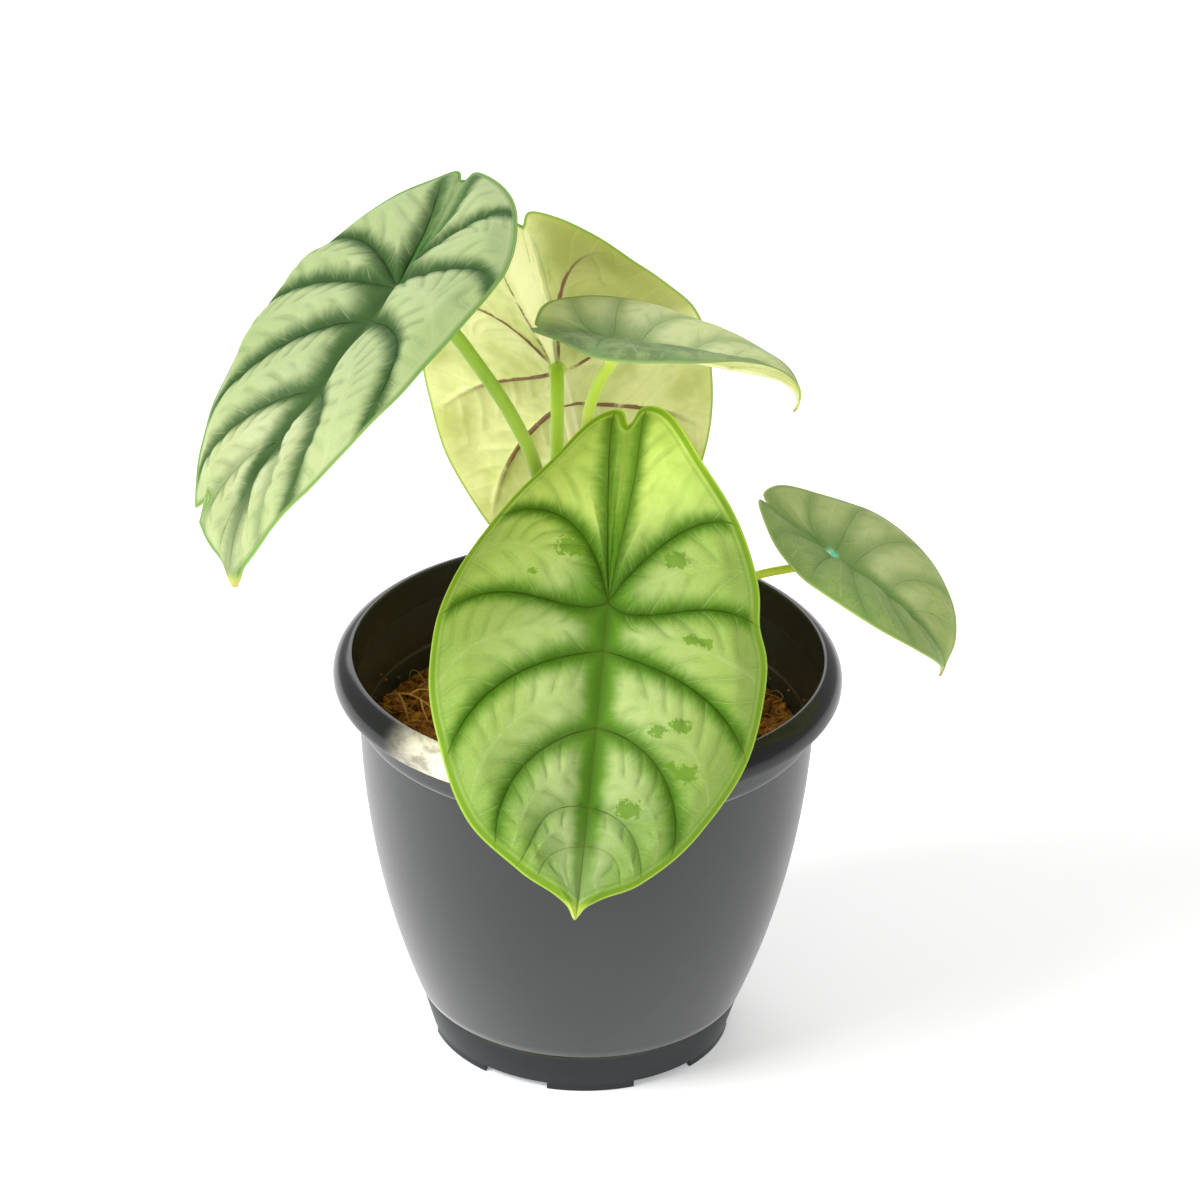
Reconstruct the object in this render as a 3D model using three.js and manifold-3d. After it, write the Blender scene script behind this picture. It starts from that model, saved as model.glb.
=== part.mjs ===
// Potted silver dragon alocasia: five quilted, shield-shaped leaves on a short crown, in a nursery pot.
// Millimetres, +Z up. The origin is the centre of the pot's underside, on the surface it stands on.
// The plant's front faces -Y. Angles are in degrees.

import * as THREE from 'three';
import { mergeVertices } from 'three/addons/utils/BufferGeometryUtils.js';
import Module from 'manifold-3d';

const wasm = await Module();
wasm.setup();

// Pot
const potSides = 40;
const potHeight = 108;
const potWall = 1.5;
const footRadius = 39;
const footTop = { r: 41.8, z: 11.7 };
const bodyFoot = { r: 42.5, z: 12.8 };
const bodyPullLow = { r: 52.6, z: 38.5 };
const bodyPullHigh = { r: 57.4, z: 65 };
const bodyTop = { r: 58.3, z: 92 };
const neckFoot = { r: 59.2, z: 92.6 };
const neckTop = { r: 60, z: 99 };
const lipRadius = 65;
const lipSkirt = { thickness: 1.5, z: 100.7 };
const lipCrest = 60.8;
const lipRound = { swell: 0.5, shoulder: 3.4, lean: 1.5, slope: 1.2 };
const lipInner = { r: 60, z: 107.2 };
const floorUnder = 4;
const floorThickness = 1.6;
const padRadius = 6;
const padTaper = 0.6;
const footTabs = { count: 6, length: 23, height: 2, turn: -85 };
const drainHoles = { count: 6, r: 4.5, ring: 25 };

// Potting mix
const soilLevel = 82;
const soilRings = [50, 42, 34, 26, 18];
const soilLump = 1.6;
const soilLevelEdge = { crown: 8, wall: [48, 56] };
const clearance = 0.3;

// Crown, the short stem that carries every leaf
const crownSides = 16;
const crownRadius = 9.5;
const crownFoot = 60;
const crownTop = 94;
const crownToe = 2.5;
const crownShoulder = [{ inset: 1.4, drop: 4 }, { inset: 3.6, drop: 1 }, { inset: 6.5, drop: 0 }];
const scarDepth = 0.5;
const scarSpacing = 7;
const socketFloor = 80.5;
const socketRing = 5.6;

// Petioles
const petioleSides = 8;
const petioleSteps = 14;
const sheathRadius = 2.4;
const sheathLength = 0.3;
const stalkGap = 0.4;

// Blades: the margin point of each lateral vein, and the course of the vein from the midrib to it.
// Across is in half widths and along is in lengths from the petiole's joint to the drip tip.
const bladeThickness = 0.8;
const veins = [
  { start: 0, bend: [0, -0.2], pull: [0, -0.4], end: [0, -0.565], swell: 0.5 },
  { start: 0, bend: [0.03, -0.2], pull: [0.09, -0.42], end: [0.12, -0.605], swell: 1.2 },
  { start: 0, bend: [0.05, -0.2], pull: [0.25, -0.33], end: [0.6, -0.358], swell: 1.7 },
  { start: 0, bend: [0.25, 0.05], pull: [0.6, -0.07], end: [0.955, 0.03], swell: 1.9 },
  { start: 0.14, bend: [0.3, 0.16], pull: [0.75, 0.22], end: [0.94, 0.42], swell: 1.8 },
  { start: 0.39, bend: [0.28, 0.4], pull: [0.58, 0.5], end: [0.67, 0.71], swell: 1.4 },
  { start: 0.57, bend: [0.15, 0.58], pull: [0.31, 0.68], end: [0.36, 0.863], swell: 0.9 },
  { start: 0.73, bend: [0.08, 0.74], pull: [0.14, 0.83], end: [0.12, 0.935], swell: 0.4 },
  { start: 1, bend: [0, 1], pull: [0, 1], end: [0, 1], swell: 0 },
];
const marginVein = 0.94;
const marginRoll = 0.9;
const tipStretch = 0.72;
const lobeStretch = 0.6;
const taperFrom = 0.4;
const pillowShape = 0.8;
const pillowField = { midrib: 0.25, margin: 0.78 };

// Leaves. The joint is where the petiole meets the blade. Heading 0 points the drip tip to -Y and 90
// to +X, droop lowers the tip and lean tips the blade sideways. Fold lifts the two halves from the
// midrib and curl rolls them down again. Taper narrows the blade towards the tip. Stalk points run
// up from the crown to the joint.
const leaves = {
  front: {
    joint: [4.7, -42, 145.1], heading: -5.2, droop: 49.7, lean: 4.5, length: 78.9, width: 42.9,
    bend: 5.1, lobeDrop: 9.5, tipDrop: -4.2, fold: [10.1, 14.9], curl: [-23.3, -31.2], twist: 27,
    sweep: 0.026, lobeSweep: -0.034, widths: [1.02, 0.97], lobes: 1.03, taper: 0, quilt: 1,
    rows: 4, columns: 7, socketTurn: -84, stalkTop: 1.7, color: 0x8fc24a,
    stalk: [[0.9, -8.2, 96], [2.2, -18, 118], [4, -32, 137]],
  },
  left: {
    joint: [-48.9, -8, 213], heading: -34.2, droop: 22.3, lean: 14.2, length: 89.7, width: 42.8,
    bend: 24.1, lobeDrop: -14.3, tipDrop: 39.1, fold: [9.2, 18.7], curl: [-22.2, -14.5], twist: -12.8,
    sweep: 0.042, lobeSweep: 0.063, widths: [0.96, 1.005], lobes: 0.716, taper: 0, quilt: 1,
    rows: 4, columns: 7, socketTurn: 204, stalkTop: 1.55, color: 0x8fb386,
    stalk: [[-7.4, -3, 110], [-10.2, -3.6, 138], [-14.3, -4.2, 162.6], [-20.4, -5, 177.1],
      [-29.6, -6, 192.4], [-37.2, -6.9, 203]],
  },
  back: {
    joint: [-9.7, 28, 174.4], heading: 156.9, droop: 60.6, lean: -13.8, length: 84.6, width: 41.7,
    bend: 38, lobeDrop: -18.7, tipDrop: 24.5, fold: [35.8, 25.4], curl: [-8.4, -19], twist: 8.9,
    sweep: -0.013, lobeSweep: -0.045, widths: [0.98, 0.99], lobes: 1.02, taper: 0, quilt: 0.6,
    rows: 4, columns: 7, socketTurn: 132, stalkTop: 1.7, color: 0xc3d583,
    stalk: [[-7, 6.5, 110], [-8.9, 11, 140], [-9.1, 13.5, 160], [-9.5, 19.5, 176.4]],
  },
  upper: {
    joint: [3.1, -8, 198.9], heading: 82, droop: 5.6, lean: -11.7, length: 50.2, width: 29,
    bend: 6.8, lobeDrop: -1.9, tipDrop: 51.6, fold: [27.5, 26.3], curl: [-40.9, -29.8], twist: 12.5,
    sweep: 0, lobeSweep: -0.01, widths: [0.95, 0.98], lobes: 0.61, taper: 0.35, quilt: 0.35,
    rows: 3, columns: 6, socketTurn: 60, stalkTop: 1.5, color: 0x86a67a,
    stalk: [[1, 2.5, 110], [-0.8, 0, 145], [-1.5, -2, 175.6], [1.6, -5, 188.4], [4, -7.2, 193.8]],
  },
  right: {
    joint: [60.2, -6, 140.4], heading: 71.2, droop: 22.1, lean: -6.7, length: 43, width: 28,
    bend: 29.9, lobeDrop: -22.5, tipDrop: 51.2, fold: [22.3, 22.4], curl: [-32.5, -24.4], twist: 1.6,
    sweep: 0.013, lobeSweep: -0.019, widths: [0.99, 1], lobes: 0.86, taper: 0, quilt: 0.4,
    rows: 3, columns: 6, socketTurn: -12, stalkTop: 1.1, color: 0x74906c,
    stalk: [[9, -1.6, 97], [18, -2, 114], [30, -2.5, 126.5], [42.6, -3, 133], [53.5, -5, 137]],
  },
};

const plastic = new THREE.MeshStandardMaterial({ color: 0x2e3236, roughness: 0.42, metalness: 0 });
const peat = new THREE.MeshStandardMaterial({ color: 0x3b2418, roughness: 0.95, metalness: 0 });
const crownSkin = new THREE.MeshStandardMaterial({ color: 0x8ea04e, roughness: 0.55, metalness: 0 });
const stalkSkin = new THREE.MeshStandardMaterial({ color: 0x9fc65c, roughness: 0.4, metalness: 0 });

const radians = THREE.MathUtils.degToRad;
const ramp = THREE.MathUtils.smoothstep;
const at = ({ r, z }) => new THREE.Vector2(r, z);

// A closed geometry as a solid that can be joined or cut
function solidOf(geometry) {
  const bare = geometry.clone();
  bare.deleteAttribute('normal');
  bare.deleteAttribute('uv');
  const merged = mergeVertices(bare, 1e-4);
  const corners = merged.index.array;
  const faces = [];
  for (let i = 0; i < corners.length; i += 3) {
    const [a, b, c] = corners.slice(i, i + 3);
    if (a !== b && b !== c && c !== a) faces.push(a, b, c);
  }
  const mesh = new wasm.Mesh({
    numProp: 3,
    vertProperties: new Float32Array(merged.attributes.position.array),
    triVerts: new Uint32Array(faces),
  });
  return new wasm.Manifold(mesh);
}

// The largest body of a solid, as a geometry
function geometryOf(solid) {
  const [body] = solid.decompose().sort((a, b) => b.volume() - a.volume());
  const { vertProperties, triVerts } = body.getMesh();
  const geometry = new THREE.BufferGeometry();
  geometry.setAttribute('position', new THREE.BufferAttribute(vertProperties, 3));
  geometry.setIndex(new THREE.BufferAttribute(triVerts, 1));
  return geometry;
}

// A profile of radius and height turned round the Z axis
function turned(profile, sides) {
  return new THREE.LatheGeometry(profile, sides).rotateX(Math.PI / 2);
}

function piece(name, geometry, material) {
  const mesh = new THREE.Mesh(geometry, material);
  mesh.name = name;
  return mesh;
}

// The inside of the pot's wall, from the floor to the neck
function innerWall() {
  const inset = ({ r, z }) => new THREE.Vector2(r - potWall, z);
  const curve = new THREE.CubicBezierCurve(
    inset(bodyFoot), inset(bodyPullLow), inset(bodyPullHigh), inset(bodyTop),
  );
  return [new THREE.Vector2(footTop.r - 2 * potWall, floorUnder + floorThickness), ...curve.getPoints(5)];
}

function potBody() {
  const wall = new THREE.CubicBezierCurve(at(bodyFoot), at(bodyPullLow), at(bodyPullHigh), at(bodyTop));
  const skirtInner = lipRadius - lipSkirt.thickness;
  const underLip = new THREE.CubicBezierCurve(
    at(neckTop),
    new THREE.Vector2(neckTop.r + lipRound.swell, potHeight - 2 * potWall),
    new THREE.Vector2(skirtInner, potHeight - 2 * potWall),
    new THREE.Vector2(skirtInner, lipSkirt.z),
  );
  const lip = new THREE.CubicBezierCurve(
    new THREE.Vector2(lipRadius, lipSkirt.z),
    new THREE.Vector2(lipRadius + lipRound.swell, potHeight - lipRound.shoulder),
    new THREE.Vector2(lipRadius - lipRound.lean, potHeight - lipRound.slope),
    new THREE.Vector2(lipCrest, potHeight),
  );
  const lipEdge = new THREE.QuadraticBezierCurve(
    new THREE.Vector2(lipCrest, potHeight), new THREE.Vector2(lipInner.r, potHeight), at(lipInner),
  );
  const profile = [
    new THREE.Vector2(0, 0),
    new THREE.Vector2(padRadius, 0),
    new THREE.Vector2(padRadius + padTaper, floorUnder),
    new THREE.Vector2(footRadius - potWall, floorUnder),
    new THREE.Vector2(footRadius - potWall, 0),
    new THREE.Vector2(footRadius, 0),
    new THREE.Vector2(footRadius, footTabs.height),
    at(footTop),
    ...wall.getPoints(6),
    at(neckFoot),
    ...underLip.getPoints(4),
    ...lip.getPoints(4),
    ...lipEdge.getPoints(2).slice(1),
    ...innerWall().reverse(),
    new THREE.Vector2(0, floorUnder + floorThickness),
  ];
  let body = solidOf(turned(profile, potSides));
  const gapLength = 2 * Math.PI * footRadius / footTabs.count - footTabs.length;
  for (let i = 0; i < footTabs.count; i += 1) {
    const turn = radians(footTabs.turn + (i + 0.5) * 360 / footTabs.count);
    const gap = new THREE.BoxGeometry(4 * potWall, gapLength, 2 * footTabs.height);
    gap.translate(footRadius - potWall / 2, 0, 0).rotateZ(turn);
    body = body.subtract(solidOf(gap));
  }
  for (let i = 0; i < drainHoles.count; i += 1) {
    const turn = 2 * Math.PI * i / drainHoles.count;
    const hole = new THREE.CylinderGeometry(drainHoles.r, drainHoles.r, 4 * floorThickness, 16);
    hole.rotateX(Math.PI / 2).translate(drainHoles.ring, 0, floorUnder + floorThickness / 2).rotateZ(turn);
    body = body.subtract(solidOf(hole));
  }
  return geometryOf(body);
}

// Lumps of the mix's surface, level round the crown and at the wall
function soilRelief(x, y) {
  const lumps = Math.sin(0.31 * x + 1.3) * Math.cos(0.27 * y + 0.4)
    + 0.7 * Math.sin(0.19 * x - 0.37 * y) + 0.5 * Math.cos(0.53 * x + 0.41 * y + 2);
  const r = Math.hypot(x, y);
  const [from, to] = soilLevelEdge.wall;
  return soilLump * lumps * ramp(r, crownRadius, crownRadius + soilLevelEdge.crown) * (1 - ramp(r, from, to));
}

function soilBody() {
  const wall = innerWall().filter((point) => point.y < soilLevel);
  const above = innerWall().find((point) => point.y >= soilLevel);
  const below = wall[wall.length - 1];
  const share = (soilLevel - below.y) / (above.y - below.y);
  const side = [...wall, below.clone().lerp(above, share)];
  const profile = [
    new THREE.Vector2(0, side[0].y + clearance),
    ...side.map((point, i) => new THREE.Vector2(point.x - clearance, point.y + (i === 0 ? clearance : 0))),
    ...soilRings.map((r) => new THREE.Vector2(r, soilLevel)),
    new THREE.Vector2(crownRadius + clearance, soilLevel),
    new THREE.Vector2(crownRadius + clearance, crownFoot - clearance),
    new THREE.Vector2(0, crownFoot - clearance),
  ];
  const geometry = turned(profile, potSides);
  const points = geometry.attributes.position;
  for (let i = 0; i < points.count; i += 1) {
    if (points.getZ(i) > soilLevel - 0.01) {
      points.setZ(i, soilLevel + soilRelief(points.getX(i), points.getY(i)));
    }
  }
  return geometryOf(solidOf(geometry));
}

// A tube along a curve, with its radius given along its length from 0 to 1 and its end cut to a plane
function stalkTube(curve, radiusAt, end) {
  const frames = curve.computeFrenetFrames(petioleSteps, false);
  const positions = [];
  const faces = [];
  for (let i = 0; i <= petioleSteps; i += 1) {
    const share = i / petioleSteps;
    const centre = curve.getPointAt(share);
    for (let j = 0; j < petioleSides; j += 1) {
      const turn = 2 * Math.PI * j / petioleSides;
      const point = centre.clone()
        .addScaledVector(frames.normals[i], radiusAt(share) * Math.cos(turn))
        .addScaledVector(frames.binormals[i], radiusAt(share) * Math.sin(turn));
      if (i === petioleSteps) {
        const course = frames.tangents[i];
        point.addScaledVector(course, -end.distanceToPoint(point) / course.dot(end.normal));
      }
      positions.push(...point);
      if (i === petioleSteps) continue;
      const here = i * petioleSides + j;
      const next = i * petioleSides + (j + 1) % petioleSides;
      faces.push(here, next, here + petioleSides, next, next + petioleSides, here + petioleSides);
    }
  }
  const last = petioleSteps * petioleSides;
  for (let j = 1; j < petioleSides - 1; j += 1) {
    faces.push(0, j + 1, j, last, last + j, last + j + 1);
  }
  const geometry = new THREE.BufferGeometry();
  geometry.setAttribute('position', new THREE.Float32BufferAttribute(positions, 3));
  geometry.setIndex(faces);
  return geometry;
}

function stalkCurve(leaf, drop) {
  const turn = radians(leaf.socketTurn);
  const foot = [socketRing * Math.cos(turn), socketRing * Math.sin(turn), socketFloor - drop];
  const course = [foot, ...leaf.stalk, leaf.joint];
  return new THREE.CatmullRomCurve3(course.map((point) => new THREE.Vector3(...point)));
}

// The petiole swells into a sheath at its foot, and its top lies flat under the blade
function stalkGeometry(leaf, grow) {
  const radiusAt = (share) => grow + leaf.stalkTop
    + (sheathRadius - leaf.stalkTop) * (1 - ramp(share, 0, sheathLength));
  const { out } = bladeFrame(leaf);
  const under = new THREE.Vector3(...leaf.joint).addScaledVector(out, -bladeThickness / 2 - stalkGap);
  const end = new THREE.Plane().setFromNormalAndCoplanarPoint(out, under);
  return stalkTube(stalkCurve(leaf, grow), radiusAt, end);
}

function crownBody() {
  const profile = [new THREE.Vector2(0, crownFoot), new THREE.Vector2(crownRadius - crownToe, crownFoot)];
  for (let z = crownFoot + crownToe; z < crownTop - scarSpacing; z += scarSpacing) {
    profile.push(new THREE.Vector2(crownRadius, z));
    profile.push(new THREE.Vector2(crownRadius - scarDepth, z + scarSpacing / 2));
  }
  for (const { inset, drop } of crownShoulder) {
    profile.push(new THREE.Vector2(crownRadius - inset, crownTop - drop));
  }
  profile.push(new THREE.Vector2(0, crownTop));
  let body = solidOf(turned(profile, crownSides));
  for (const leaf of Object.values(leaves)) body = body.subtract(solidOf(stalkGeometry(leaf, clearance)));
  return geometryOf(body);
}

// Value of a vein property at a fractional vein number, on a smooth curve through the veins
function alongVeins(position, pick) {
  const last = veins.length - 1;
  const i = Math.min(Math.floor(position), last - 1);
  const t = position - i;
  const here = pick(veins[i]);
  const next = pick(veins[i + 1]);
  const before = i > 0 ? pick(veins[i - 1]) : 2 * here - next;
  const after = i + 2 <= last ? pick(veins[i + 2]) : 2 * next - here;
  return 0.5 * (2 * here + (next - before) * t + (2 * before - 5 * here + 4 * next - after) * t * t
    + (3 * here - before - 3 * next + after) * t * t * t);
}

// Place in the flat blade of a point that lies at a share of the way along a vein
function flatPoint(position, share) {
  const rest = 1 - share;
  const start = position <= 3 ? 0 : alongVeins(position, (vein) => vein.start);
  const blend = (axis) => rest ** 3 * (axis === 1 ? start : 0)
    + 3 * rest * rest * share * alongVeins(position, (vein) => vein.bend[axis])
    + 3 * rest * share * share * alongVeins(position, (vein) => vein.pull[axis])
    + share ** 3 * alongVeins(position, (vein) => vein.end[axis]);
  return [position === 0 ? 0 : blend(0), blend(1)];
}

// Pillows between the sunk veins, and the margin that rolls down outside the collecting vein
function quiltHeight(leaf, position, share) {
  const swell = veins[Math.min(Math.floor(position), veins.length - 1)].swell;
  const pillow = Math.abs(Math.sin(Math.PI * position)) ** pillowShape;
  const field = ramp(share, 0, pillowField.midrib) * (1 - ramp(share, pillowField.margin, marginVein));
  return leaf.quilt * (swell * pillow * field - marginRoll * ramp(share, marginVein - 0.04, 1));
}

// The angle that the midrib has turned down by, at a distance from the joint
function midribTurn(leaf, along) {
  const share = along / leaf.length;
  const steady = share > 0 ? leaf.bend * share : leaf.lobeDrop * share / lobeStretch;
  const tip = Math.max(share - tipStretch, 0) / (1 - tipStretch);
  return radians(steady + leaf.tipDrop * tip * tip);
}

function midribPoint(leaf, along) {
  const steps = 24;
  let y = 0;
  let z = 0;
  for (let i = 0; i < steps; i += 1) {
    const turn = midribTurn(leaf, along * (i + 0.5) / steps);
    y += Math.cos(turn) * along / steps;
    z -= Math.sin(turn) * along / steps;
  }
  return { y, z, turn: midribTurn(leaf, along) };
}

// The blade's three directions at the joint: across, along to the drip tip, and out of the upper face
function bladeFrame(leaf) {
  const heading = radians(leaf.heading);
  const droop = radians(leaf.droop);
  const lean = radians(leaf.lean);
  const outward = new THREE.Vector3(Math.sin(heading), -Math.cos(heading), 0);
  const along = outward.clone().multiplyScalar(Math.cos(droop)).setZ(-Math.sin(droop));
  const level = outward.clone().multiplyScalar(Math.sin(droop)).setZ(Math.cos(droop));
  const side = new THREE.Vector3().crossVectors(along, level);
  const out = level.multiplyScalar(Math.cos(lean)).addScaledVector(side, Math.sin(lean));
  return { along, out, across: new THREE.Vector3().crossVectors(along, out) };
}

// Place in space of a point of the blade's middle surface, before it is quilted
function spacePoint(leaf, frame, side, across, along) {
  const half = side > 0 ? 0 : 1;
  const reach = across * leaf.width * leaf.widths[half] * (1 - leaf.taper * ramp(along, taperFrom, 1));
  const run = along * leaf.length * (along < 0 ? leaf.lobes : 1);
  const fold = radians(leaf.fold[half]);
  const curl = radians(leaf.curl[half]) / leaf.width;
  const flatX = side * (Math.sin(fold + curl * reach) - Math.sin(fold)) / curl;
  const flatH = (Math.cos(fold) - Math.cos(fold + curl * reach)) / curl;
  const twist = radians(leaf.twist) * run / leaf.length;
  const x = flatX * Math.cos(twist) - flatH * Math.sin(twist);
  const h = flatX * Math.sin(twist) + flatH * Math.cos(twist);
  const sweep = (run > 0 ? leaf.sweep : leaf.lobeSweep) * run * run / leaf.length;
  const midrib = midribPoint(leaf, run);
  return new THREE.Vector3(...leaf.joint)
    .addScaledVector(frame.across, x + sweep)
    .addScaledVector(frame.along, midrib.y + h * Math.sin(midrib.turn))
    .addScaledVector(frame.out, midrib.z + h * Math.cos(midrib.turn));
}

// The blade's middle surface, as points and triangles. Rows follow the veins from the midrib to the
// margin, from the seam between the two lobes round to the drip tip, on both halves.
function bladeSheet(leaf) {
  const frame = bladeFrame(leaf);
  const rowCount = leaf.rows * (veins.length - 1);
  const points = [];
  const faces = [];
  const known = new Map();
  const pointAt = (side, row, column) => {
    const position = row / leaf.rows;
    const tip = row === rowCount;
    const onMidrib = column === 0;
    const shared = onMidrib || row === 0 || tip;
    const key = tip ? 'tip' : onMidrib && position <= 3 ? 'joint' : `${shared ? 0 : side},${row},${column}`;
    if (known.has(key)) return known.get(key);
    const share = tip ? 1 : column / leaf.columns;
    const [across, along] = flatPoint(position, share);
    const place = (du, dv) => spacePoint(leaf, frame, side, Math.max(across, 0) + du, along + dv);
    const centre = place(0, 0);
    const small = 0.002;
    const upward = new THREE.Vector3().crossVectors(
      place(small, 0).sub(centre), place(0, small).sub(centre),
    ).normalize().multiplyScalar(side);
    points.push(centre.addScaledVector(upward, quiltHeight(leaf, position, share)));
    known.set(key, points.length - 1);
    return points.length - 1;
  };
  for (const side of [1, -1]) {
    for (let row = 0; row < rowCount; row += 1) {
      for (let column = 0; column < leaf.columns; column += 1) {
        const a = pointAt(side, row, column);
        const b = pointAt(side, row + 1, column);
        const c = pointAt(side, row + 1, column + 1);
        const d = pointAt(side, row, column + 1);
        const corners = side > 0 ? [[a, b, c], [a, c, d]] : [[a, c, b], [a, d, c]];
        faces.push(...corners.filter(([p, q, r]) => p !== q && q !== r && r !== p));
      }
    }
  }
  return { points, faces };
}

// A closed shell round a sheet, half its thickness above and below it, with both faces split alike
function shellOf({ points, faces }, thickness) {
  const sheet = new THREE.BufferGeometry().setFromPoints(points);
  sheet.setIndex(faces.flat());
  sheet.computeVertexNormals();
  const normals = sheet.attributes.normal;
  const offset = (distance) => points.map((point, i) => point.clone()
    .addScaledVector(new THREE.Vector3().fromBufferAttribute(normals, i), distance));
  const edges = new Map();
  for (const [a, b, c] of faces) {
    for (const [from, to] of [[a, b], [b, c], [c, a]]) edges.set(`${from},${to}`, [from, to]);
  }
  const count = points.length;
  const shell = [];
  for (const [a, b, c] of faces) shell.push(a, b, c, a + count, c + count, b + count);
  for (const [from, to] of edges.values()) {
    if (edges.has(`${to},${from}`)) continue;
    shell.push(to, from, from + count, to, from + count, to + count);
  }
  const skins = [...offset(thickness / 2), ...offset(-thickness / 2)];
  const geometry = new THREE.BufferGeometry().setFromPoints(skins);
  geometry.setIndex(shell);
  return geometry;
}

const plant = new THREE.Group();
plant.add(piece('pot', potBody(), plastic));
plant.add(piece('soil', soilBody(), peat));
plant.add(piece('crown', crownBody(), crownSkin));

for (const [name, leaf] of Object.entries(leaves)) {
  const skin = new THREE.MeshStandardMaterial({ color: leaf.color, roughness: 0.45, metalness: 0 });
  plant.add(piece(`petiole_${name}`, stalkGeometry(leaf, 0), stalkSkin));
  plant.add(piece(`blade_${name}`, shellOf(bladeSheet(leaf), bladeThickness), skin));
}

export default plant;
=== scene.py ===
# Potted silver dragon alocasia: five quilted leaves on a short crown, in a dark nursery pot
import math

import bpy
import numpy as np
from mathutils import Matrix, Vector


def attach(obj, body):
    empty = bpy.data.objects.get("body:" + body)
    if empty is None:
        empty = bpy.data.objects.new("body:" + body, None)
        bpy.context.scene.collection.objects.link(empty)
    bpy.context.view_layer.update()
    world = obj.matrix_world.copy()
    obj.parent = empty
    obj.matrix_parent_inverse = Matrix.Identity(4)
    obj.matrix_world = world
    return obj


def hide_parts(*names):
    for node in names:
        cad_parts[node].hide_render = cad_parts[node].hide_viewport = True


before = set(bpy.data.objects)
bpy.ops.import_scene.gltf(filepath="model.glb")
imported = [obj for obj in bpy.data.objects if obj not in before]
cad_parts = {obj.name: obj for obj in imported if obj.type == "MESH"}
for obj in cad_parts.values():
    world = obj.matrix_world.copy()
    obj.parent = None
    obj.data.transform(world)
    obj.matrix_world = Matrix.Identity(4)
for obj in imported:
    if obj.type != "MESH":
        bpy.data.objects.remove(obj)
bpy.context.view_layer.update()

millimetre = 0.001
print("frame loaded:", len(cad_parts), "nodes")


# Small helpers for numbers

def ramp(x, low, high):
    t = np.clip((x - low) / (high - low), 0, 1)
    return t * t * (3 - 2 * t)


def bezier(points, share):
    a, b, c, d = (np.asarray(p, float) for p in points)
    t = np.asarray(share, float)[..., None]
    return (1 - t) ** 3 * a + 3 * (1 - t) ** 2 * t * b + 3 * (1 - t) * t * t * c + t ** 3 * d


# Soft waves that never quite repeat, for lumps and wobble; the seed shifts them
def waves(x, y, scale, seed=0):
    random = np.random.default_rng(seed)
    total = np.zeros_like(x, dtype=float)
    for octave in range(4):
        turn, shift = random.uniform(0, 2 * math.pi, 2)
        wave = (x * math.cos(turn) + y * math.sin(turn)) / scale * (1 + 0.7 * octave)
        cross = (y * math.cos(turn) - x * math.sin(turn)) / scale * (0.8 + 0.5 * octave)
        total += np.sin(wave + shift) * np.cos(cross + 2 * shift) / (1 + 0.6 * octave)
    return total / 1.6


# Values with one more at each end, for curves that pass through all of them
def withEnds(values):
    return np.concatenate([[2 * values[0] - values[1]], values, [2 * values[-1] - values[-2]]])


# Distance run along a path at each of its points
def distanceRun(path, power=1):
    return np.concatenate([[0], np.cumsum(np.linalg.norm(np.diff(path, axis=0), axis=1) ** power)])


# Objects and meshes from points in millimetres

def addObject(name, data):
    made = bpy.data.objects.new(name, data)
    bpy.context.scene.collection.objects.link(made)
    return made


def addField(mesh, key, values):
    vector = values.ndim == 2
    layer = mesh.attributes.new(key, "FLOAT_VECTOR" if vector else "FLOAT", "POINT")
    layer.data.foreach_set("vector" if vector else "value", values.astype(np.float32).ravel())


def meshObject(name, points, faces, materials, faceMaterial=None, fields=None):
    mesh = bpy.data.meshes.new(name)
    mesh.from_pydata((np.asarray(points) * millimetre).tolist(), [], faces)
    for material in materials:
        mesh.materials.append(material)
    if faceMaterial is not None:
        mesh.polygons.foreach_set("material_index", faceMaterial)
    for key, values in (fields or {}).items():
        addField(mesh, key, values)
    mesh.polygons.foreach_set("use_smooth", [True] * len(mesh.polygons))
    mesh.validate()
    mesh.update()
    return addObject(name, mesh)


# A profile of radius and height turned round the Z axis, closed where it meets the axis
def latheFaces(profile, sides):
    points, rings = [], []
    for radius, height in profile:
        if radius < 1e-6:
            rings.append([len(points)] * sides)
            points.append((0, 0, height))
            continue
        rings.append(list(range(len(points), len(points) + sides)))
        for i in range(sides):
            turn = 2 * math.pi * i / sides
            points.append((radius * math.cos(turn), radius * math.sin(turn), height))
    faces = []
    for low, high in zip(rings, rings[1:]):
        for i in range(sides):
            j = (i + 1) % sides
            corners = [low[i], low[j], high[j], high[i]]
            faces.append(list(dict.fromkeys(corners)))
    return points, [face for face in faces if len(face) > 2]


# Every live modifier of an object turned into its plain mesh
def settle(made):
    bpy.context.view_layer.update()
    evaluated = made.evaluated_get(bpy.context.evaluated_depsgraph_get())
    mesh = bpy.data.meshes.new_from_object(evaluated)
    mesh.name = made.name
    made.modifiers.clear()
    made.data = mesh
    mesh.polygons.foreach_set("use_smooth", [True] * len(mesh.polygons))
    return made


def dress(made, slot, *nodes):
    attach(made, "root")
    if nodes:
        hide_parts(*nodes)


# Node trees: a wire is one socket, and sums on wires add Math nodes

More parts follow.
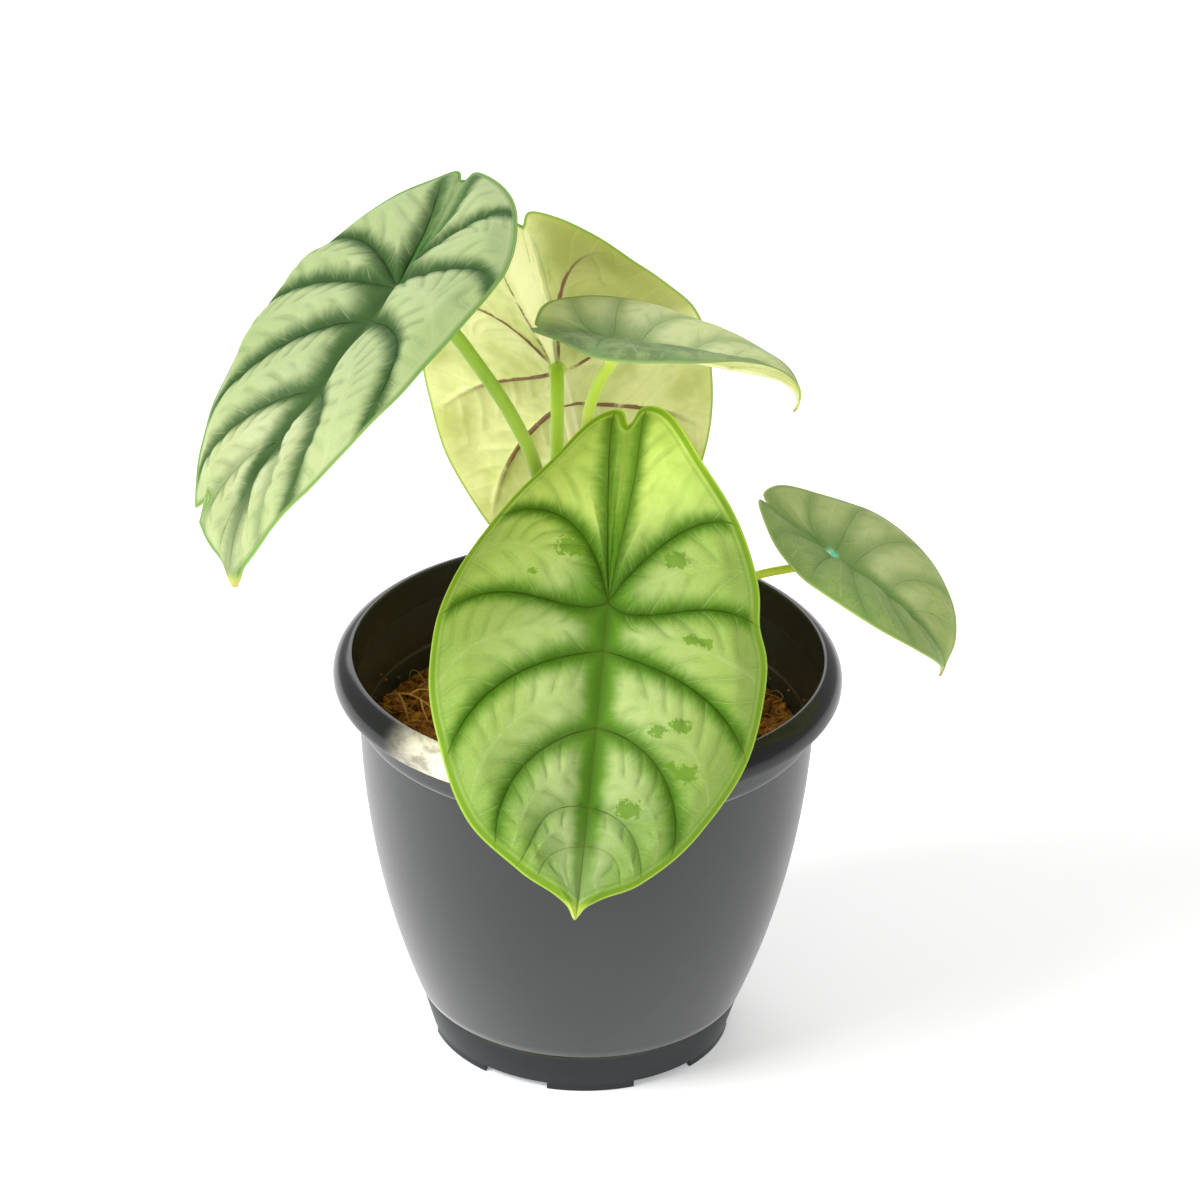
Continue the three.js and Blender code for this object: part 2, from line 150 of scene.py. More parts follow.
class Wire:
    def __init__(self, board, socket):
        self.board, self.socket = board, socket

    def sum(self, operation, *others):
        inputs = dict(enumerate([self, *others]))
        return self.board.node("ShaderNodeMath", {"operation": operation}, inputs)

    def also(self, name):
        return Wire(self.board, self.socket.node.outputs[name])

    def toWhole(self):  # distance to the nearest whole number
        return abs(self - self.sum("ROUND"))

    def __add__(self, other): return self.sum("ADD", other)
    def __sub__(self, other): return self.sum("SUBTRACT", other)
    def __rsub__(self, other): return (self * -1) + other
    def __mul__(self, other): return self.sum("MULTIPLY", other)
    def __truediv__(self, other): return self.sum("DIVIDE", other)
    def __pow__(self, other): return self.sum("POWER", other)
    def __abs__(self): return self.sum("ABSOLUTE")
    __radd__, __rmul__ = __add__, __mul__


class Board:
    def __init__(self, tree):
        self.tree = tree
        tree.nodes.clear()

    def node(self, kind, settings=None, inputs=None, out=0):
        made = self.tree.nodes.new(kind)
        for key, value in (settings or {}).items():
            if key == "stops":
                self.setStops(made.color_ramp.elements, value)
            else:
                setattr(made, key, value)
        for key, value in (inputs or {}).items():
            if isinstance(value, Wire):
                self.tree.links.new(value.socket, made.inputs[key])
            else:
                made.inputs[key].default_value = value
        return Wire(self, made.outputs[out]) if made.outputs else made

    def setStops(self, elements, stops):
        for i, (place, colour) in enumerate(stops):
            element = elements[i] if i < 2 else elements.new(place)
            element.position = place
            element.color = (*colour, 1)

    def smooth(self, value, low, high):
        settings = {"interpolation_type": "SMOOTHSTEP"}
        return self.node("ShaderNodeMapRange", settings, {0: value, 1: low, 2: high})

    def fade(self, value, low, high):
        return 1 - self.smooth(value, low, high)

    def mix(self, factor, a, b, blend="MIX"):
        a, b = ((*c, 1) if isinstance(c, tuple) else c for c in (a, b))
        return self.node("ShaderNodeMix", {"data_type": "RGBA", "blend_type": blend},
                         {0: factor, 6: a, 7: b}, out=2)

    def field(self, name, out="Fac"):
        return self.node("ShaderNodeAttribute", {"attribute_name": name}, out=out)

    def spot(self):
        return self.node("ShaderNodeTexCoord", out="Object")

    def place(self, *scale):
        return self.node("ShaderNodeMapping", inputs={0: self.spot(), "Scale": scale or (1, 1, 1)})

    def split(self, vector):
        x = self.node("ShaderNodeSeparateXYZ", None, {0: vector}, out="X")
        return x, x.also("Y"), x.also("Z")

    def join(self, x, y, z):
        return self.node("ShaderNodeCombineXYZ", None, {0: x, 1: y, 2: z})

    def noise(self, vector, scale, detail=3, rough=0.55):
        inputs = {"Vector": vector, "Scale": scale, "Detail": detail, "Roughness": rough}
        return self.node("ShaderNodeTexNoise", None, inputs)

    # Patches where the noise is high, with soft edges between low and high
    def patches(self, vector, scale, low, high, detail=3, rough=0.55):
        return self.smooth(self.noise(vector, scale, detail, rough), low, high)


# A colour that other colours are laid over, each through its own mask
class Paint:
    def __init__(self, board, colour):
        self.board, self.colour = board, colour

    def lay(self, mask, colour, blend="MIX"):
        self.colour = self.board.mix(mask, self.colour, colour, blend)


def newMaterial(name, viewColour):
    material = bpy.data.materials.new(name)
    material.use_nodes = True
    material.diffuse_color = (*viewColour, 1)
    return material, Board(material.node_tree)


# The shader itself: only colour, roughness and normal vary over the surface. Flesh is the weight, radius
# and scale of light that passes through it
def finishMaterial(board, colour, roughness, bump=None, bumpDepth=0.0002, flesh=(), **constants):
    inputs = {"Base Color": colour, "Roughness": roughness}
    if bump is not None:
        inputs["Normal"] = board.node("ShaderNodeBump", None, {"Height": bump, "Distance": bumpDepth})
    inputs.update({key.replace("_", " "): value for key, value in constants.items()})
    inputs.update(zip(("Subsurface Weight", "Subsurface Radius", "Subsurface Scale"), flesh))
    shader = board.node("ShaderNodeBsdfPrincipled", None, inputs)
    board.node("ShaderNodeOutputMaterial", None, {"Surface": shader})


# A Geometry Nodes tree takes a shape and named inputs, and ends in Realize Instances and Set Material
def openTree(name, kinds):
    tree = bpy.data.node_groups.new(name, "GeometryNodeTree")
    board, face = Board(tree), tree.interface
    face.new_socket(name="Shape", in_out="INPUT", socket_type="NodeSocketGeometry")
    inputs = {}
    for key, kind in kinds.items():
        inputs[key] = face.new_socket(name=key, in_out="INPUT", socket_type="NodeSocket" + kind).identifier
    face.new_socket(name="Result", in_out="OUTPUT", socket_type="NodeSocketGeometry")
    return tree, board, board.node("NodeGroupInput"), inputs


def closeTree(board, shape, material):
    whole = board.node("GeometryNodeRealizeInstances", None, {0: shape})
    done = board.node("GeometryNodeSetMaterial", None, {"Geometry": whole, "Material": material})
    board.node("NodeGroupOutput", None, {0: done})


def growTree(made, tree, inputs, values):
    grow = made.modifiers.new("grow", "NODES")
    grow.node_group = tree
    for key, value in values.items():
        grow[inputs[key]] = value
    return settle(made)


# Camera and light

cameraPlan = {
    "pitch": 28.25, "roll": 1.40, "target": (2.67, 0, 123.1), "distance": 1500,
    "lens": 177.2, "sensor": 36, "clip": (0.05, 50),
}


def makeCamera(plan):
    pitch, roll = math.radians(plan["pitch"]), math.radians(plan["roll"])
    forward = Vector((0, math.cos(pitch), -math.sin(pitch)))
    upright = Vector((0, math.sin(pitch), math.cos(pitch)))
    level = Vector((1, 0, 0))
    right = level * math.cos(roll) + upright * math.sin(roll)
    up = upright * math.cos(roll) - level * math.sin(roll)
    data = bpy.data.cameras.new("camera")
    data.lens, data.sensor_width = plan["lens"], plan["sensor"]
    data.clip_start, data.clip_end = plan["clip"]
    camera = addObject("camera", data)
    turned = Matrix((right, up, -forward)).transposed().to_4x4()
    spot = (Vector(plan["target"]) - forward * plan["distance"]) * millimetre
    camera.matrix_world = Matrix.Translation(spot) @ turned
    bpy.context.scene.camera = camera


studio = {
    "skyStrength": 0.48,
    "floorColour": (0.93, 0.93, 0.93), "floorPale": (0.95, 0.95, 0.95),
    "floorGlow": 0.24, "floorReach": 6.0, "lampTarget": (0, 0, 0.1),
    "lamps": [
        {"name": "keyLamp", "from": (-1.35, -0.75, 1.25), "size": (1.0, 1.0), "power": 38.5},
        {"name": "fillLamp", "from": (0.9, -1.5, 0.75), "size": (1.6, 1.4), "power": 12},
        {"name": "rearLamp", "from": (-0.2, 1.3, 1.0), "size": (1.5, 1.0), "power": 10},
    ],
}


def makeStudio(plan):
    scene = bpy.context.scene
    scene.view_settings.view_transform = "Standard"
    world = bpy.data.worlds.new("studio")
    world.use_nodes = True
    scene.world = world
    board = Board(world.node_tree)
    sky = board.node("ShaderNodeBackground", None, {0: (1, 1, 1, 1), 1: plan["skyStrength"]})
    board.node("ShaderNodeOutputWorld", None, {0: sky})
    for lamp in plan["lamps"]:
        data = bpy.data.lights.new(lamp["name"], "AREA")
        data.shape, data.energy = "RECTANGLE", lamp["power"]
        data.size, data.size_y = lamp["size"]
        made = addObject(lamp["name"], data)
        made.location = lamp["from"]
        aim = Vector(plan["lampTarget"]) - Vector(lamp["from"])
        made.rotation_euler = aim.to_track_quat("-Z", "Y").to_euler()
    material, board = newMaterial("floorPaper", plan["floorColour"])
    grain = board.patches(board.place(), 3, 0.3, 0.7, 2)
    lightTint = board.mix(grain, plan["floorColour"], plan["floorPale"])
    finishMaterial(board, lightTint, 0.8, Emission_Color=(1, 1, 1, 1), Emission_Strength=plan["floorGlow"])
    reach = plan["floorReach"] / millimetre
    corners = [(-reach, -reach, 0), (reach, -reach, 0), (reach, reach, 0), (-reach, reach, 0)]
    meshObject("floor", corners, [[0, 1, 2, 3]], [material])


makeCamera(cameraPlan)
makeStudio(studio)
print("camera and studio ready")


# Pot

pot = {
    "sides": 180, "height": 108, "wall": 1.5,
    "footRadius": 39, "footTop": (41.8, 11.7), "footEdge": 0.5,
    "body": [(42.5, 12.8), (52.6, 38.5), (57.4, 65), (58.3, 92)],
    "ledge": [(58.9, 92.15), (59.2, 92.7)],
    "neckTop": (60, 99), "lipRadius": 65, "lipSkirt": 1.5, "skirtLow": 100.7,
    "lip": [(65, 101.2), (65.5, 104.6), (63.5, 106.8), (60.8, 108)],
    "lipInner": (60, 107.2), "floorUnder": 4, "floorThickness": 1.6,
    "padRadius": 6, "padTaper": 0.6, "corner": 0.3,
    "tabs": {"count": 6, "length": 23, "height": 2, "turn": -85},
    "holes": {"count": 6, "r": 4.5, "ring": 25, "sides": 32}, "underLip": (60.5, 3), "curveSteps": 40,
    "lipMiddle": ([92, 99, 107.4], [57.6, 59.3, 60.2]), "glossy": (0.0122, 0.098), "sharpFrom": 38,
}


def innerCurve():
    return [(r - pot["wall"], z) for r, z in pot["body"]]


# The pot's wall cut through: up the outside from the pad, over the lip and down to the floor
def potProfile():
    wall, height, foot = pot["wall"], pot["height"], pot["footRadius"]
    under, edge, corner = pot["floorUnder"], pot["footEdge"], pot["corner"]
    floorTop, tabTop, skirtLow = under + pot["floorThickness"], pot["tabs"]["height"], pot["skirtLow"]
    padR, lipR, (topR, topZ) = pot["padRadius"], pot["lipRadius"], pot["footTop"]
    skirtIn, (underR, drop) = lipR - pot["lipSkirt"], pot["underLip"]
    underLip = [pot["neckTop"], (underR, height - drop), (skirtIn, height - drop), (skirtIn, skirtLow)]
    share = np.linspace(0, 1, pot["curveSteps"])
    return [
        (0, 0), (padR - corner, 0), (padR, corner), (padR + pot["padTaper"], under), (foot - wall, under),
        (foot - wall, corner), (foot - wall + corner, 0), (foot - corner, 0), (foot, corner),
        (foot, tabTop - corner), (foot + 0.1, tabTop + 0.2), (topR, topZ - edge),
        (topR - 0.1, topZ), (topR - 0.3, topZ + 0.35), (42.05, 12.5),
        *map(tuple, bezier(pot["body"], share)), *pot["ledge"], (59.4, 94),
        *map(tuple, bezier(underLip, np.linspace(0, 1, 14))),
        (skirtIn + 0.4, skirtLow - 0.35), (lipR - 0.4, skirtLow - 0.35),
        *map(tuple, bezier(pot["lip"], np.linspace(0, 1, 16))),
        (60.35, 107.95), (60.08, 107.65), pot["lipInner"], (59.6, 104), (58.9, 99),
        *map(tuple, bezier(innerCurve(), share[::-1])),
        (39.6, floorTop + 1.4), (38.4, floorTop + 0.2), (37, floorTop), (0, floorTop),
    ]


def boxCutter(centre, half, turn):
    c, s = math.cos(turn), math.sin(turn)
    points = []
    for x in (-half[0], half[0]):
        for y in (-half[1], half[1]):
            for z in (-half[2], half[2]):
                u, v = centre[0] + x, centre[1] + y
                points.append((u * c - v * s, u * s + v * c, centre[2] + z))
    faces = [[0, 1, 3, 2], [4, 6, 7, 5], [0, 4, 5, 1], [2, 3, 7, 6], [0, 2, 6, 4], [1, 5, 7, 3]]
    return points, faces


# Gaps between the foot's tabs, and the drain holes, taken away from the turned pot in one cut
def makePot(material):
    body = meshObject("nurseryPot", *latheFaces(potProfile(), pot["sides"]), [material])
    tabs, holes, cuts = pot["tabs"], pot["holes"], []
    gap = 2 * math.pi * pot["footRadius"] / tabs["count"] - tabs["length"]
    centre = (pot["footRadius"] - pot["wall"] / 2, 0, 0)
    for i in range(tabs["count"]):
        turn = math.radians(tabs["turn"] + (i + 0.5) * 360 / tabs["count"])
        cuts.append(boxCutter(centre, (2 * pot["wall"], gap / 2, tabs["height"]), turn))
    low, high = pot["floorUnder"] - 2, pot["floorUnder"] + pot["floorThickness"] + 2
    rod = [(0, low), (holes["r"], low), (holes["r"], high), (0, high)]
    for i in range(holes["count"]):
        turn, (points, faces) = 2 * math.pi * i / holes["count"], latheFaces(rod, holes["sides"])
        shift = (holes["ring"] * math.cos(turn), holes["ring"] * math.sin(turn), 0)
        cuts.append(([tuple(a + b for a, b in zip(p, shift)) for p in points], faces))
    cutPoints, cutFaces = [], []
    for points, faces in cuts:
        cutFaces += [[k + len(cutPoints) for k in face] for face in faces]
        cutPoints += points
    tool = meshObject("potCutter", cutPoints, cutFaces, [])
    cut = body.modifiers.new("cut", "BOOLEAN")
    cut.object, cut.operation, cut.solver = tool, "DIFFERENCE", "EXACT"
    settle(body)
    bpy.data.objects.remove(tool)
    body.data.shade_smooth()
    body.data.set_sharp_from_angle(angle=math.radians(pot["sharpFrom"]))
    return body


# Heights and places in metres: each pair is where a change of colour begins and ends
potLook = {
    "body": (0.021, 0.023, 0.024), "bodyPale": (0.032, 0.034, 0.035), "lip": (0.007, 0.008, 0.007),
    "foot": (0.009, 0.011, 0.013), "inside": (0.030, 0.032, 0.020), "dustAndHighlight": (0.92, 0.87, 0.66),
    "ring": (0.16, 0.17, 0.13), "ledge": (0.17, 0.17, 0.17),
    "footTop": (0.0112, 0.0130), "lipFrom": (0.0985, 0.0995),
    "ledgeLine": [(0.0917, 0.0920), (0.0924, 0.0929)], "ringLine": [(0.0872, 0.0876), (0.0879, 0.0886)],
    # Centre and reach of the pale smear on the lip: partly dust, partly a painted highlight of the key lamp
    "smear": (-0.030, -0.056), "smearReach": (0.008, 0.027),
}


def potMaterial(name, look, sheen, gloss):
    material, board = newMaterial(name, look["body"])
    smooth, fade, noise, patches, place = board.smooth, board.fade, board.noise, board.patches, board.place
    x, y, z = board.split(board.spot())
    lip, inward = smooth(z, *look["lipFrom"]), board.field("inward")
    ledge, ring = (smooth(z, *look[k][0]) * fade(z, *look[k][1]) for k in ("ledgeLine", "ringLine"))
    paint = Paint(board, look["body"])
    paint.lay(patches(place(), 9, 0.35, 0.7, 2), look["bodyPale"])
    paint.lay(fade(z, *look["footTop"]), look["foot"])
    paint.lay(ledge * patches(place(1, 1, 6), 60, 0.25, 0.6) * 0.75, look["ledge"])
    paint.lay(lip, look["lip"])
    scuffs = patches(place(1, 1, 0.3), 260, 0.66, 0.74, 5, 0.75)
    paint.lay(scuffs * lip * 0.12, look["ring"])
    inside = Paint(board, look["inside"])
    inside.lay(patches(place(), 28, 0.4, 0.8, 4, 0.6) * 0.5, look["foot"])
    inside.lay(ring * 0.55, look["ring"])
    inside.lay(patches(place(1, 1, 0.15), 420, 0.62, 0.72, 4, 0.8) * 0.10, look["ring"])
    paint.lay(inward, inside.colour)
    # A pale streaked patch on the front left of the lip, rougher than the rest: partly dust, partly a painted
    # highlight of the key lamp
    fromSmear = ((x - look["smear"][0]) ** 2 + (y - look["smear"][1]) ** 2) ** 0.5
    brushed = patches(place(1, 0.6, 2.2), 90, 0.34, 0.60, 6, 0.72)
    dustAndHighlight = fade(fromSmear, *look["smearReach"]) * lip * (0.35 + 0.65 * brushed)
    paint.lay(dustAndHighlight * 0.95, look["dustAndHighlight"])
    rough = 0.36 + 0.06 * noise(place(), 40) - 0.19 * lip + 0.3 * dustAndHighlight + 0.05 * inward
    relief = noise(place(), 900, 2) * 0.4 + scuffs * 0.2
    finishMaterial(board, paint.colour, rough, relief, 0.00006, Specular_IOR_Level=gloss,
                   Sheen_Weight=sheen, Sheen_Roughness=0.35)
    return material


# Marks the wall's inner side, and gives the inside, the lip and the foot the second, glossier material
def markInward(made):
    points = np.array([v.co for v in made.data.vertices]) / millimetre
    radius, z = np.hypot(points[:, 0], points[:, 1]), points[:, 2]
    middle = bezier([(r - pot["wall"] / 2, z) for r, z in pot["body"]], np.linspace(0, 1, 200))
    limit = np.interp(z, middle[:, 1], middle[:, 0])
    limit = np.where(z > pot["body"][-1][1], np.interp(z, *pot["lipMiddle"]), limit)
    inward = (radius < limit) & (z > pot["floorUnder"] + 1)
    addField(made.data, "inward", inward)
    low, high = pot["glossy"]
    for face in made.data.polygons:
        within = all(inward[i] for i in face.vertices)
        face.material_index = int(within or face.center.z > high or face.center.z < low)


potPiece = makePot(potMaterial("potPlastic", potLook, 0.46, 0.5))
potPiece.data.materials.append(potMaterial("potGloss", potLook, 0, 0.38))
markInward(potPiece)
dress(potPiece, "pot", "pot")
print("pot:", len(potPiece.data.polygons), "faces")


# Blades

# Margin point of each lateral vein and the course of the vein from the midrib to it, as in the solids:
# across in half widths, along in lengths from the petiole's joint to the drip tip. Rows counts the rows
# of faces between one course and the next
veinCourse = {
    "start": [0, 0, 0, 0, 0.14, 0.39, 0.57, 0.73, 1],
    "bendX": [0, 0.03, 0.05, 0.25, 0.3, 0.28, 0.15, 0.08, 0],
    "bendY": [-0.2, -0.2, -0.2, 0.05, 0.16, 0.4, 0.58, 0.74, 1],
    "pullX": [0, 0.09, 0.25, 0.6, 0.75, 0.58, 0.31, 0.14, 0],
    "pullY": [-0.4, -0.42, -0.33, -0.07, 0.22, 0.5, 0.68, 0.83, 1],
    "endX": [0, 0.12, 0.6, 0.955, 0.94, 0.67, 0.36, 0.12, 0],
    "endY": [-0.565, -0.605, -0.358, 0.03, 0.42, 0.71, 0.863, 0.935, 1],
    "swell": [0.3, 1.2, 1.7, 1.9, 1.8, 1.4, 0.9, 0.4, 0],
    "force": [0, 0.9, 1, 1, 1, 0.95, 0.4, 0.15, 0],
    "rows": [10, 32, 38, 34, 30, 46, 18, 14],
}
lastCourse = len(veinCourse["rows"])
jointCourses = 3  # courses up to this one leave from the joint and not from the midrib
bladeBuild = {
    "columns": 68, "midribCrowd": 1.2, "veinCrowd": 0.55, "courseSteps": 60, "bendSteps": 24,
    "thickness": 0.7, "edgeThickness": 0.3, "edgeReach": 4, "edgeRound": 0.45,
    "marginVein": 0.94, "marginRoll": 0.9, "marginRollWide": 0.04, "bulgeFrom": 0.35, "nickFrom": 0.7,
    "tipStretch": 0.72, "lobeStretch": 0.6, "taperFrom": 0.4, "lobeFlat": 0.3,
    "pillowShape": 0.7, "pillowMidrib": 0.25, "pillowMargin": 0.78, "channelRound": 3.0,
    "channelEnd": 0.15, "centreReach": 0.6, "rippleScale": 16, "edgeWaveScale": 9, "edgeWaveFrom": 0.6,
    "branchSpacing": 6.4, "branchSlant": 0.8, "branchDepth": 0.55, "branchWidth": 0.17,
    "branchWobble": 0.30, "wobbleScale": 8, "branchShift": 0.37,
    "branchRun": (0.02, 0.10), "branchFromVein": 1.5, "branchFromRib": (2, 6),
    "ribRise": 1.0, "ribWidth": 1.7, "ribFade": 0.85, "veinRise": 0.35, "veinWidth": 0.8,
    "ribFromEdge": (0.5, 6), "marginStep": 0.05, "slopeStep": 0.15,
    "splotchShape": (0.85, 1.2), "splotchFar": 9.0, "nickFar": 99.0,
}


def smoothRead(values, position):
    values = np.array(values, float)
    ends = withEnds(values)
    i = np.minimum(position.astype(int), len(values) - 2)
    t = position - i
    before, here, after, beyond = (ends[i + k] for k in range(4))
    return 0.5 * (2 * here + (after - before) * t + (2 * before - 5 * here + 4 * after - beyond) * t ** 2
                  + (3 * here - before - 3 * after + beyond) * t ** 3)


# Vein courses of one half of a leaf: its own as far as it lists them, and the common ones after that
def halfCourse(leaf, side):
    table = {key: list(veinCourse[key]) for key in ("start", "bendX", "bendY", "pullX", "pullY")}
    table["end"] = list(range(lastCourse + 1))
    fromMidrib = slice(jointCourses + 1, lastCourse)
    table["start"][fromMidrib] = leaf.get("starts", table["start"][fromMidrib])
    for i, vein in enumerate(leaf.get("veins", {}).get(side, [])):
        for key, value in zip(("bendX", "bendY", "pullX", "pullY", "end"), vein):
            table[key][i + 1] = value
    return table


# Place in the flat blade, in millimetres from the joint, before bulges and nicks
def plainPoint(leaf, side, position, share, course):
    read = {key: smoothRead(values, position) for key, values in course.items()}
    outlineAt = np.clip(read["end"], 0, lastCourse)
    endX, endY = smoothRead(veinCourse["endX"], outlineAt), smoothRead(veinCourse["endY"], outlineAt)
    rest = 1 - share
    start = np.where(position <= jointCourses, 0, read["start"])
    across = 3 * rest * rest * share * read["bendX"] + 3 * rest * share ** 2 * read["pullX"]
    across = across + share ** 3 * endX
    along = rest ** 3 * start + 3 * rest * rest * share * read["bendY"]
    along = along + 3 * rest * share ** 2 * read["pullY"] + share ** 3 * endY
    across = np.where(position == 0, 0, np.maximum(across, 0))
    taper = 1 - leaf["taper"] * ramp(along, bladeBuild["taperFrom"], 1)
    x = side * across * leaf["width"] * leaf["widths"][0 if side > 0 else 1] * taper
    return np.stack([x, along * leaf["length"] * np.where(along < 0, leaf["lobes"], 1)], -1), outlineAt


# The same with the leaf's bulges and nicks pushed square to its margin
def flatPoint(leaf, side, position, share):
    course, step = halfCourse(leaf, side), bladeBuild["marginStep"]
    flat, outlineAt = plainPoint(leaf, side, position, share, course)
    push = np.zeros_like(position)
    for at, wide, far in leaf["bulges"].get(side, []):
        push = push + far * np.exp(-((outlineAt - at) / wide) ** 2) * ramp(share, bladeBuild["bulgeFrom"], 1)
    for nick in leaf.get("nicks", []):
        if nick["side"] == side:
            notch = np.exp(-((outlineAt - nick["at"]) / nick["wide"]) ** 4)
            push = push - nick["deep"] * notch * ramp(share, bladeBuild["nickFrom"], 1)
    whole = np.ones_like(position)
    ahead, _ = plainPoint(leaf, side, np.minimum(position + step, lastCourse), whole, course)
    behind, _ = plainPoint(leaf, side, np.maximum(position - step, 0), whole, course)
    slope = ahead - behind
    outward = np.stack([slope[..., 1], -slope[..., 0]], -1) * side
    outward /= np.maximum(np.linalg.norm(outward, axis=-1, keepdims=True), 1e-9)
    flat = flat + outward * push[..., None]
    flat[..., 0] = np.where(position == 0, 0, side * np.maximum(side * flat[..., 0], 0))
    return flat


# The blade's three directions at its joint: across, along the midrib, and out of the upper face
def bladeFrame(leaf):
    heading, droop, lean = (math.radians(leaf[key]) for key in ("heading", "droop", "lean"))
    outward = np.array([math.sin(heading), -math.cos(heading), 0])
    along = outward * math.cos(droop) + np.array([0, 0, -math.sin(droop)])
    level = outward * math.sin(droop) + np.array([0, 0, math.cos(droop)])
    side = np.cross(along, level)
    out = level * math.cos(lean) + side * math.sin(lean)
    return np.cross(along, out), along, out


# How far the midrib has bent down by a place along it
def midribTurn(leaf, run):
    share = run / leaf["length"]
    steady = np.where(share > 0, leaf["bend"] * share, leaf["lobeDrop"] * share / bladeBuild["lobeStretch"])
    tip = np.maximum(share - bladeBuild["tipStretch"], 0) / (1 - bladeBuild["tipStretch"])
    return np.radians(steady + leaf["tipDrop"] * tip * tip)


# Place in space of points of the flat blade
def spacePoint(leaf, side, flat):
    half = 0 if side > 0 else 1
    reach, run = side * flat[..., 0], flat[..., 1]
    fold, curl = math.radians(leaf["fold"][half]), math.radians(leaf["curl"][half]) / leaf["width"]
    flatX = side * (np.sin(fold + curl * reach) - math.sin(fold)) / curl
    flatH = (math.cos(fold) - np.cos(fold + curl * reach)) / curl
    rounding = bladeBuild["channelRound"] * ramp(-run, 0, bladeBuild["channelEnd"] * leaf["length"])
    steepness = sum(math.tan(math.radians(each)) for each in leaf["fold"]) / 2
    flatH = flatH + steepness * (np.sqrt(reach ** 2 + rounding ** 2) - reach)
    twist = np.radians(leaf["twist"]) * run / leaf["length"]
    x = flatX * np.cos(twist) - flatH * np.sin(twist)
    inner = 1 - np.clip(reach / (bladeBuild["centreReach"] * leaf["width"]), 0, 1)
    for at, wide, far in leaf.get("centre", []):
        x = x + far * np.exp(-((run / leaf["length"] - at) / wide) ** 2) * inner
    h = flatX * np.sin(twist) + flatH * np.cos(twist)
    sweep = np.where(run > 0, leaf["sweep"], leaf["lobeSweep"]) * run * run / leaf["length"]
    y, z, steps = np.zeros_like(run), np.zeros_like(run), bladeBuild["bendSteps"]
    for i in range(steps):
        turn = midribTurn(leaf, run * (i + 0.5) / steps)
        y = y + np.cos(turn) * run / steps
        z = z - np.sin(turn) * run / steps
    turn = midribTurn(leaf, run)
    acrossAxis, alongAxis, outAxis = bladeFrame(leaf)
    return (np.array(leaf["joint"], float) + (x + sweep)[..., None] * acrossAxis
            + (y + h * np.sin(turn))[..., None] * alongAxis + (z + h * np.cos(turn))[..., None] * outAxis)


# Distance from points to one line in the flat blade, and how far along the line each falls
def gapToLine(points, line):
    best, run = np.full(len(points), 1e9), np.zeros(len(points))
    steps, start = np.linalg.norm(np.diff(line, axis=0), axis=1), distanceRun(line)
    for i, (a, b) in enumerate(zip(line, line[1:])):
        if steps[i] < 1e-9:
            continue
        t = np.clip(((points - a) @ (b - a)) / steps[i] ** 2, 0, 1)
        gap = np.linalg.norm(points - (a + t[:, None] * (b - a)), axis=1)
        closer = gap < best
        best, run = np.where(closer, gap, best), np.where(closer, start[i] + t * steps[i], run)
    return best, run


# Rows of places from the lobes' notch to the tip, and columns from the midrib to the margin
def bladeGrid(leaf):
    build, rows = bladeBuild, []
    for i, count in enumerate(veinCourse["rows"]):
        count = round(count * leaf["fineness"])
        x = np.arange(count) / count
        rows.extend(i + x - build["veinCrowd"] * np.sin(2 * math.pi * x) / (2 * math.pi))
    rows = np.array(rows + [float(lastCourse)])
    columns = np.linspace(0, 1, round(build["columns"] * leaf["fineness"]) + 1) ** build["midribCrowd"]
    position, share = np.meshgrid(rows, columns, indexing="ij")
    return position, np.where(position >= lastCourse, 1.0, share)


# Distances in the flat blade that the relief and the colours follow
def bladeFields(leaf, side, position, share, flat):
    points, s = flat.reshape(-1, 2), position.ravel()
    number = np.clip(np.where(s % 1 < 0.5, np.floor(s), np.floor(s) + 1), 1, lastCourse - 1).astype(int)
    veinGap, veinRun = np.zeros(len(s)), np.zeros(len(s))
    steps = bladeBuild["courseSteps"]
    for each in range(1, lastCourse):
        chosen = number == each
        line = flatPoint(leaf, side, np.full(steps, float(each)), np.linspace(0, 1, steps))
        veinGap[chosen], veinRun[chosen] = gapToLine(points[chosen], line)
    ribGap, ribRun = gapToLine(points, np.array([(0, 0), (0, leaf["length"])], float))
    edgeGap, _ = gapToLine(points, flat[:, -1])
    wobble = waves(points[:, 0], points[:, 1], bladeBuild["wobbleScale"], leaf["seed"])
    branch = (veinRun - bladeBuild["branchSlant"] * veinGap) / bladeBuild["branchSpacing"]
    branch = branch + bladeBuild["branchWobble"] * wobble + number * bladeBuild["branchShift"]
    fields = {
        "flat": np.column_stack([points, np.zeros(len(s))]), "veinGap": veinGap, "veinRun": veinRun,
        "ribGap": ribGap, "ribRun": ribRun, "edgeGap": edgeGap, "branch": branch,
        "jointGap": np.linalg.norm(points, axis=1), "share": share.ravel(), "course": s,
        "force": np.array(veinCourse["force"])[number] * leaf.get("veinForce", 1),
        "veinNumber": number + 20.0 * (side > 0),  # veins of the two halves count from 1 and from 21
    }
    if "splotches" in leaf:
        gap, (wide, tall) = np.full(len(s), bladeBuild["splotchFar"]), bladeBuild["splotchShape"]
        for x, y, size in leaf["splotches"]:
            gap = np.minimum(gap, np.hypot((points[:, 0] - x) * wide, (points[:, 1] - y) * tall) / size)
        fields["splotch"] = gap
    if "nicks" in leaf:
        gap = np.full(len(s), bladeBuild["nickFar"])
        for nick in leaf["nicks"]:
            x, y = (smoothRead(veinCourse[key], np.array([nick["at"]]))[0] for key in ("endX", "endY"))
            half = leaf["widths"][0 if nick["side"] > 0 else 1]
            spot = np.array([nick["side"] * x * leaf["width"] * half, y * leaf["length"]])
            gap = np.minimum(gap, np.linalg.norm(points - spot, axis=1))
        fields["nick"] = gap
    return fields


